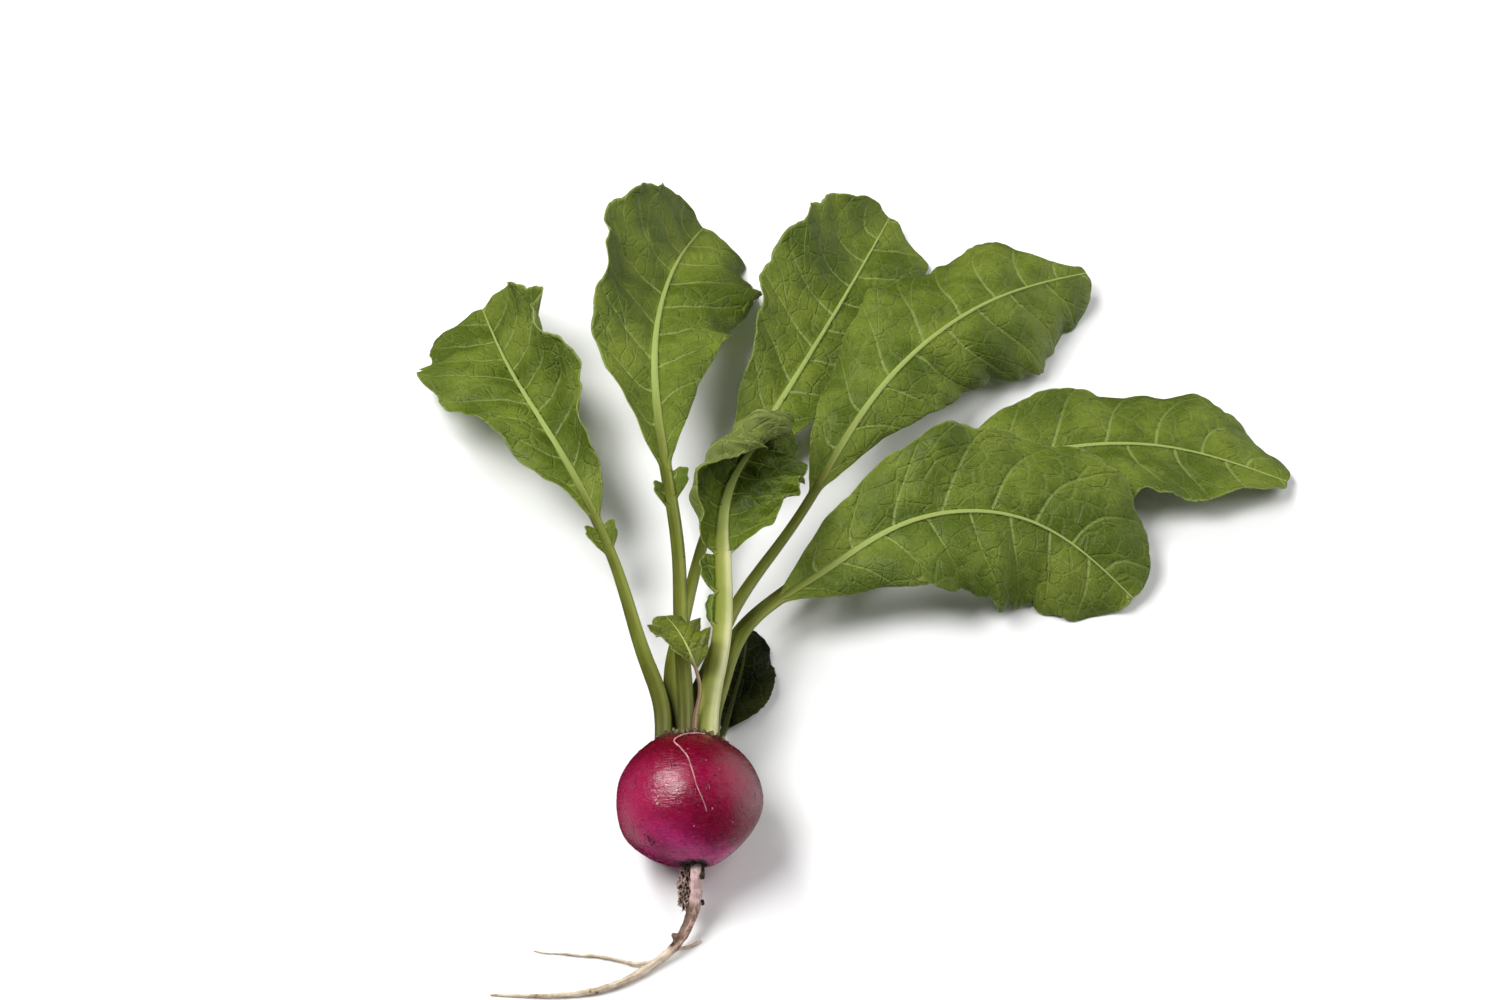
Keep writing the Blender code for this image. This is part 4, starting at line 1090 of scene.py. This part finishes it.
def scattered(tree, reading, thing, limits, seed):
    """The thing at points where the reading is high, at random sizes, turned at random within the limits."""
    wanted = tree.node("GeometryNodeInputNamedAttribute", {"data_type": "FLOAT"}, {"Name": reading})
    dense = wanted * tree.given("Count per area")
    inputs = {"Mesh": tree.given("Geometry"), "Density": dense, "Seed": tree.given("Seed")}
    points = tree.node("GeometryNodeDistributePointsOnFaces", {}, inputs, "Points")
    inputs = {2: tree.given("Least size"), 3: tree.given("Most size"), "Seed": tree.given("Seed")}
    size = tree.node("FunctionNodeRandomValue", {"data_type": "FLOAT"}, inputs, 1)
    inputs = {0: [-limit for limit in limits], 1: limits, "Seed": seed}
    angles = tree.node("FunctionNodeRandomValue", {"data_type": "FLOAT_VECTOR"}, inputs)
    turn = tree.node("FunctionNodeEulerToRotation", {}, {0: angles})
    inputs = {0: points.beside("Rotation"), 1: turn}
    turned = tree.node("FunctionNodeRotateRotation", {"rotation_space": "LOCAL"}, inputs)
    inputs = {"Points": points, "Instance": thing, "Rotation": turned, "Scale": size}
    return tree.node("GeometryNodeInstanceOnPoints", {}, inputs)


def crumbs_tree(reading):
    """Crumbs scattered where the reading is high, each a small lumpy ball."""
    tree = Tree(f"crumbs_on_{reading}", SCATTER_INPUTS)
    ball = tree.node("GeometryNodeMeshIcoSphere", {}, {"Radius": 1.0, "Subdivisions": 2})
    at = tree.node("GeometryNodeInputPosition", {}, {})
    uneven = tree.node("ShaderNodeTexNoise", {}, {"Vector": at, "Scale": 1.1, "Detail": 2.0}, "Color")
    low = tree.node("ShaderNodeVectorMath", {"operation": "SUBTRACT"}, {0: uneven, 1: (0.5, 0.5, 0.5)})
    lumpy = tree.node("GeometryNodeSetPosition", {}, {"Geometry": ball, "Offset": low})
    return tree.finish(scattered(tree, reading, lumpy, (ANY_TURN,) * 3, 5))


def hairs_tree(reading):
    """Fine root hairs that start where the reading is high, each a bowed and tapered thread."""
    tree = Tree(f"hairs_on_{reading}", {**SCATTER_INPUTS, "Thickness": "NodeSocketFloat"})
    knots = {"Start": (-0.5, 0, -HAIR_BOW), "Middle": (0, HAIR_BOW, HAIR_BOW), "End": (0.5, 0, -HAIR_BOW)}
    line = tree.node("GeometryNodeCurveQuadraticBezier", {}, {"Resolution": 7, **knots})
    ring = tree.node("GeometryNodeCurvePrimitiveCircle", {}, {"Resolution": 4, "Radius": 1.0})
    along = tree.node("GeometryNodeSplineParameter", {}, {}, "Factor")
    thick = (1 - HAIR_TAPER * along) * tree.given("Thickness")
    sizes = {"Curve": line, "Profile Curve": ring, "Scale": thick, "Fill Caps": True}
    thread = tree.node("GeometryNodeCurveToMesh", {}, sizes)
    return tree.finish(scattered(tree, reading, thread, (HAIR_TILT, HAIR_TILT, ANY_TURN), 9))


def grow(name, source, tree, material, slot, *sizes):
    """Runs the tree on the source, and keeps the result as a plain piece. Sizes are the tree's inputs."""
    bearer = placed(f"{name}_bearer", source.data)
    change = bearer.modifiers.new("grow", "NODES")
    change.node_group = tree.tree
    for identifier, value in zip(tree.identifiers, (material, *sizes), strict=True):
        change[identifier] = value
    bearer.update_tag()
    graph = bpy.context.evaluated_depsgraph_get()
    mesh = bpy.data.meshes.new_from_object(bearer.evaluated_get(graph))
    bearer.modifiers.clear()
    bpy.data.objects.remove(bearer)
    mesh.name = name
    fit(placed(name, mesh), slot)


def make_camera():
    camera = placed("camera", bpy.data.cameras.new("camera"))
    camera.data.lens, camera.data.sensor_width = CAMERA_LENS, 36
    camera.data.clip_start = 0.01
    camera.location = CAMERA_PLACE
    camera.rotation_euler = (CAMERA_PITCH, 0, 0)
    bpy.context.scene.camera = camera


def make_lamps(lamps, shines):
    """Round lamps, which either shine back from gloss or light what is matt."""
    for name, (place, size, energy) in lamps.items():
        lamp = placed(name, bpy.data.lights.new(name, "AREA"))
        lamp.data.shape, lamp.data.size, lamp.data.energy = "DISK", size, energy
        lamp.location = place
        lamp.rotation_euler = (LAMPS_AIM - Vector(place)).to_track_quat("-Z", "Y").to_euler()
        lamp.visible_camera = False
        lamp.visible_glossy, lamp.visible_diffuse = shines, not shines


def make_studio():
    """A pale floor, soft lamps from the upper left and right, and a white room."""
    ground = bmesh.new()
    bmesh.ops.create_grid(ground, x_segments=2, y_segments=2, size=30)
    mesh = bpy.data.meshes.new("floor")
    ground.to_mesh(mesh)
    ground.free()
    mesh.materials.append(Finish("pale_floor").finished(Base_Color=(0.87, 0.87, 0.865), Roughness=0.7))
    floor = placed("floor", mesh)
    floor.visible_glossy = False
    make_lamps(MATT_LAMPS, shines=False)
    make_lamps(GLOSS_LAMPS, shines=True)
    world = bpy.data.worlds.new("room")
    world.use_nodes = True
    world.node_tree.nodes["Background"].inputs["Color"].default_value = (0.97, 0.98, 1.0, 1)
    world.node_tree.nodes["Background"].inputs["Strength"].default_value = 0.20
    bpy.context.scene.world = world
    world.cycles_visibility.glossy = False
    bpy.context.scene.view_settings.view_transform = "Standard"


def main():
    make_camera()
    make_studio()
    skin, soil = skin_finish(), soil_finish()
    pale_fibre = fibre_finish("pale_fibre", (0.50, 0.38, 0.27), (0.30, 0.20, 0.13))
    pink_fibre = fibre_finish("pink_fibre", (0.56, 0.27, 0.25), (0.40, 0.15, 0.16))
    dry_scales = fibre_finish("dry_scales", (0.135, 0.115, 0.045), (0.040, 0.026, 0.012))
    finishes = {name: blade_finish(name, **colours) for name, colours in BLADES.items()}
    root = make_root(skin)
    crust = make_soil_clod(soil)
    make_stray_rootlet(pink_fibre)
    make_all_grains(soil, pink_fibre)
    make_crown_scales(dry_scales)
    for name, leaf in LEAVES.items():
        make_leaf(name, leaf, finishes)
    for name, (reading, *sizes) in CRUMBS.items():
        grow(name, root, crumbs_tree(reading), soil, "soil", *sizes)
    grow("crust_net", crust, hairs_tree("soil"), pale_fibre, "rootlet", *CRUST_HAIRS)
    fit(root, "skin", "root")
    fit(crust, "soil", "soil_clod")


main()
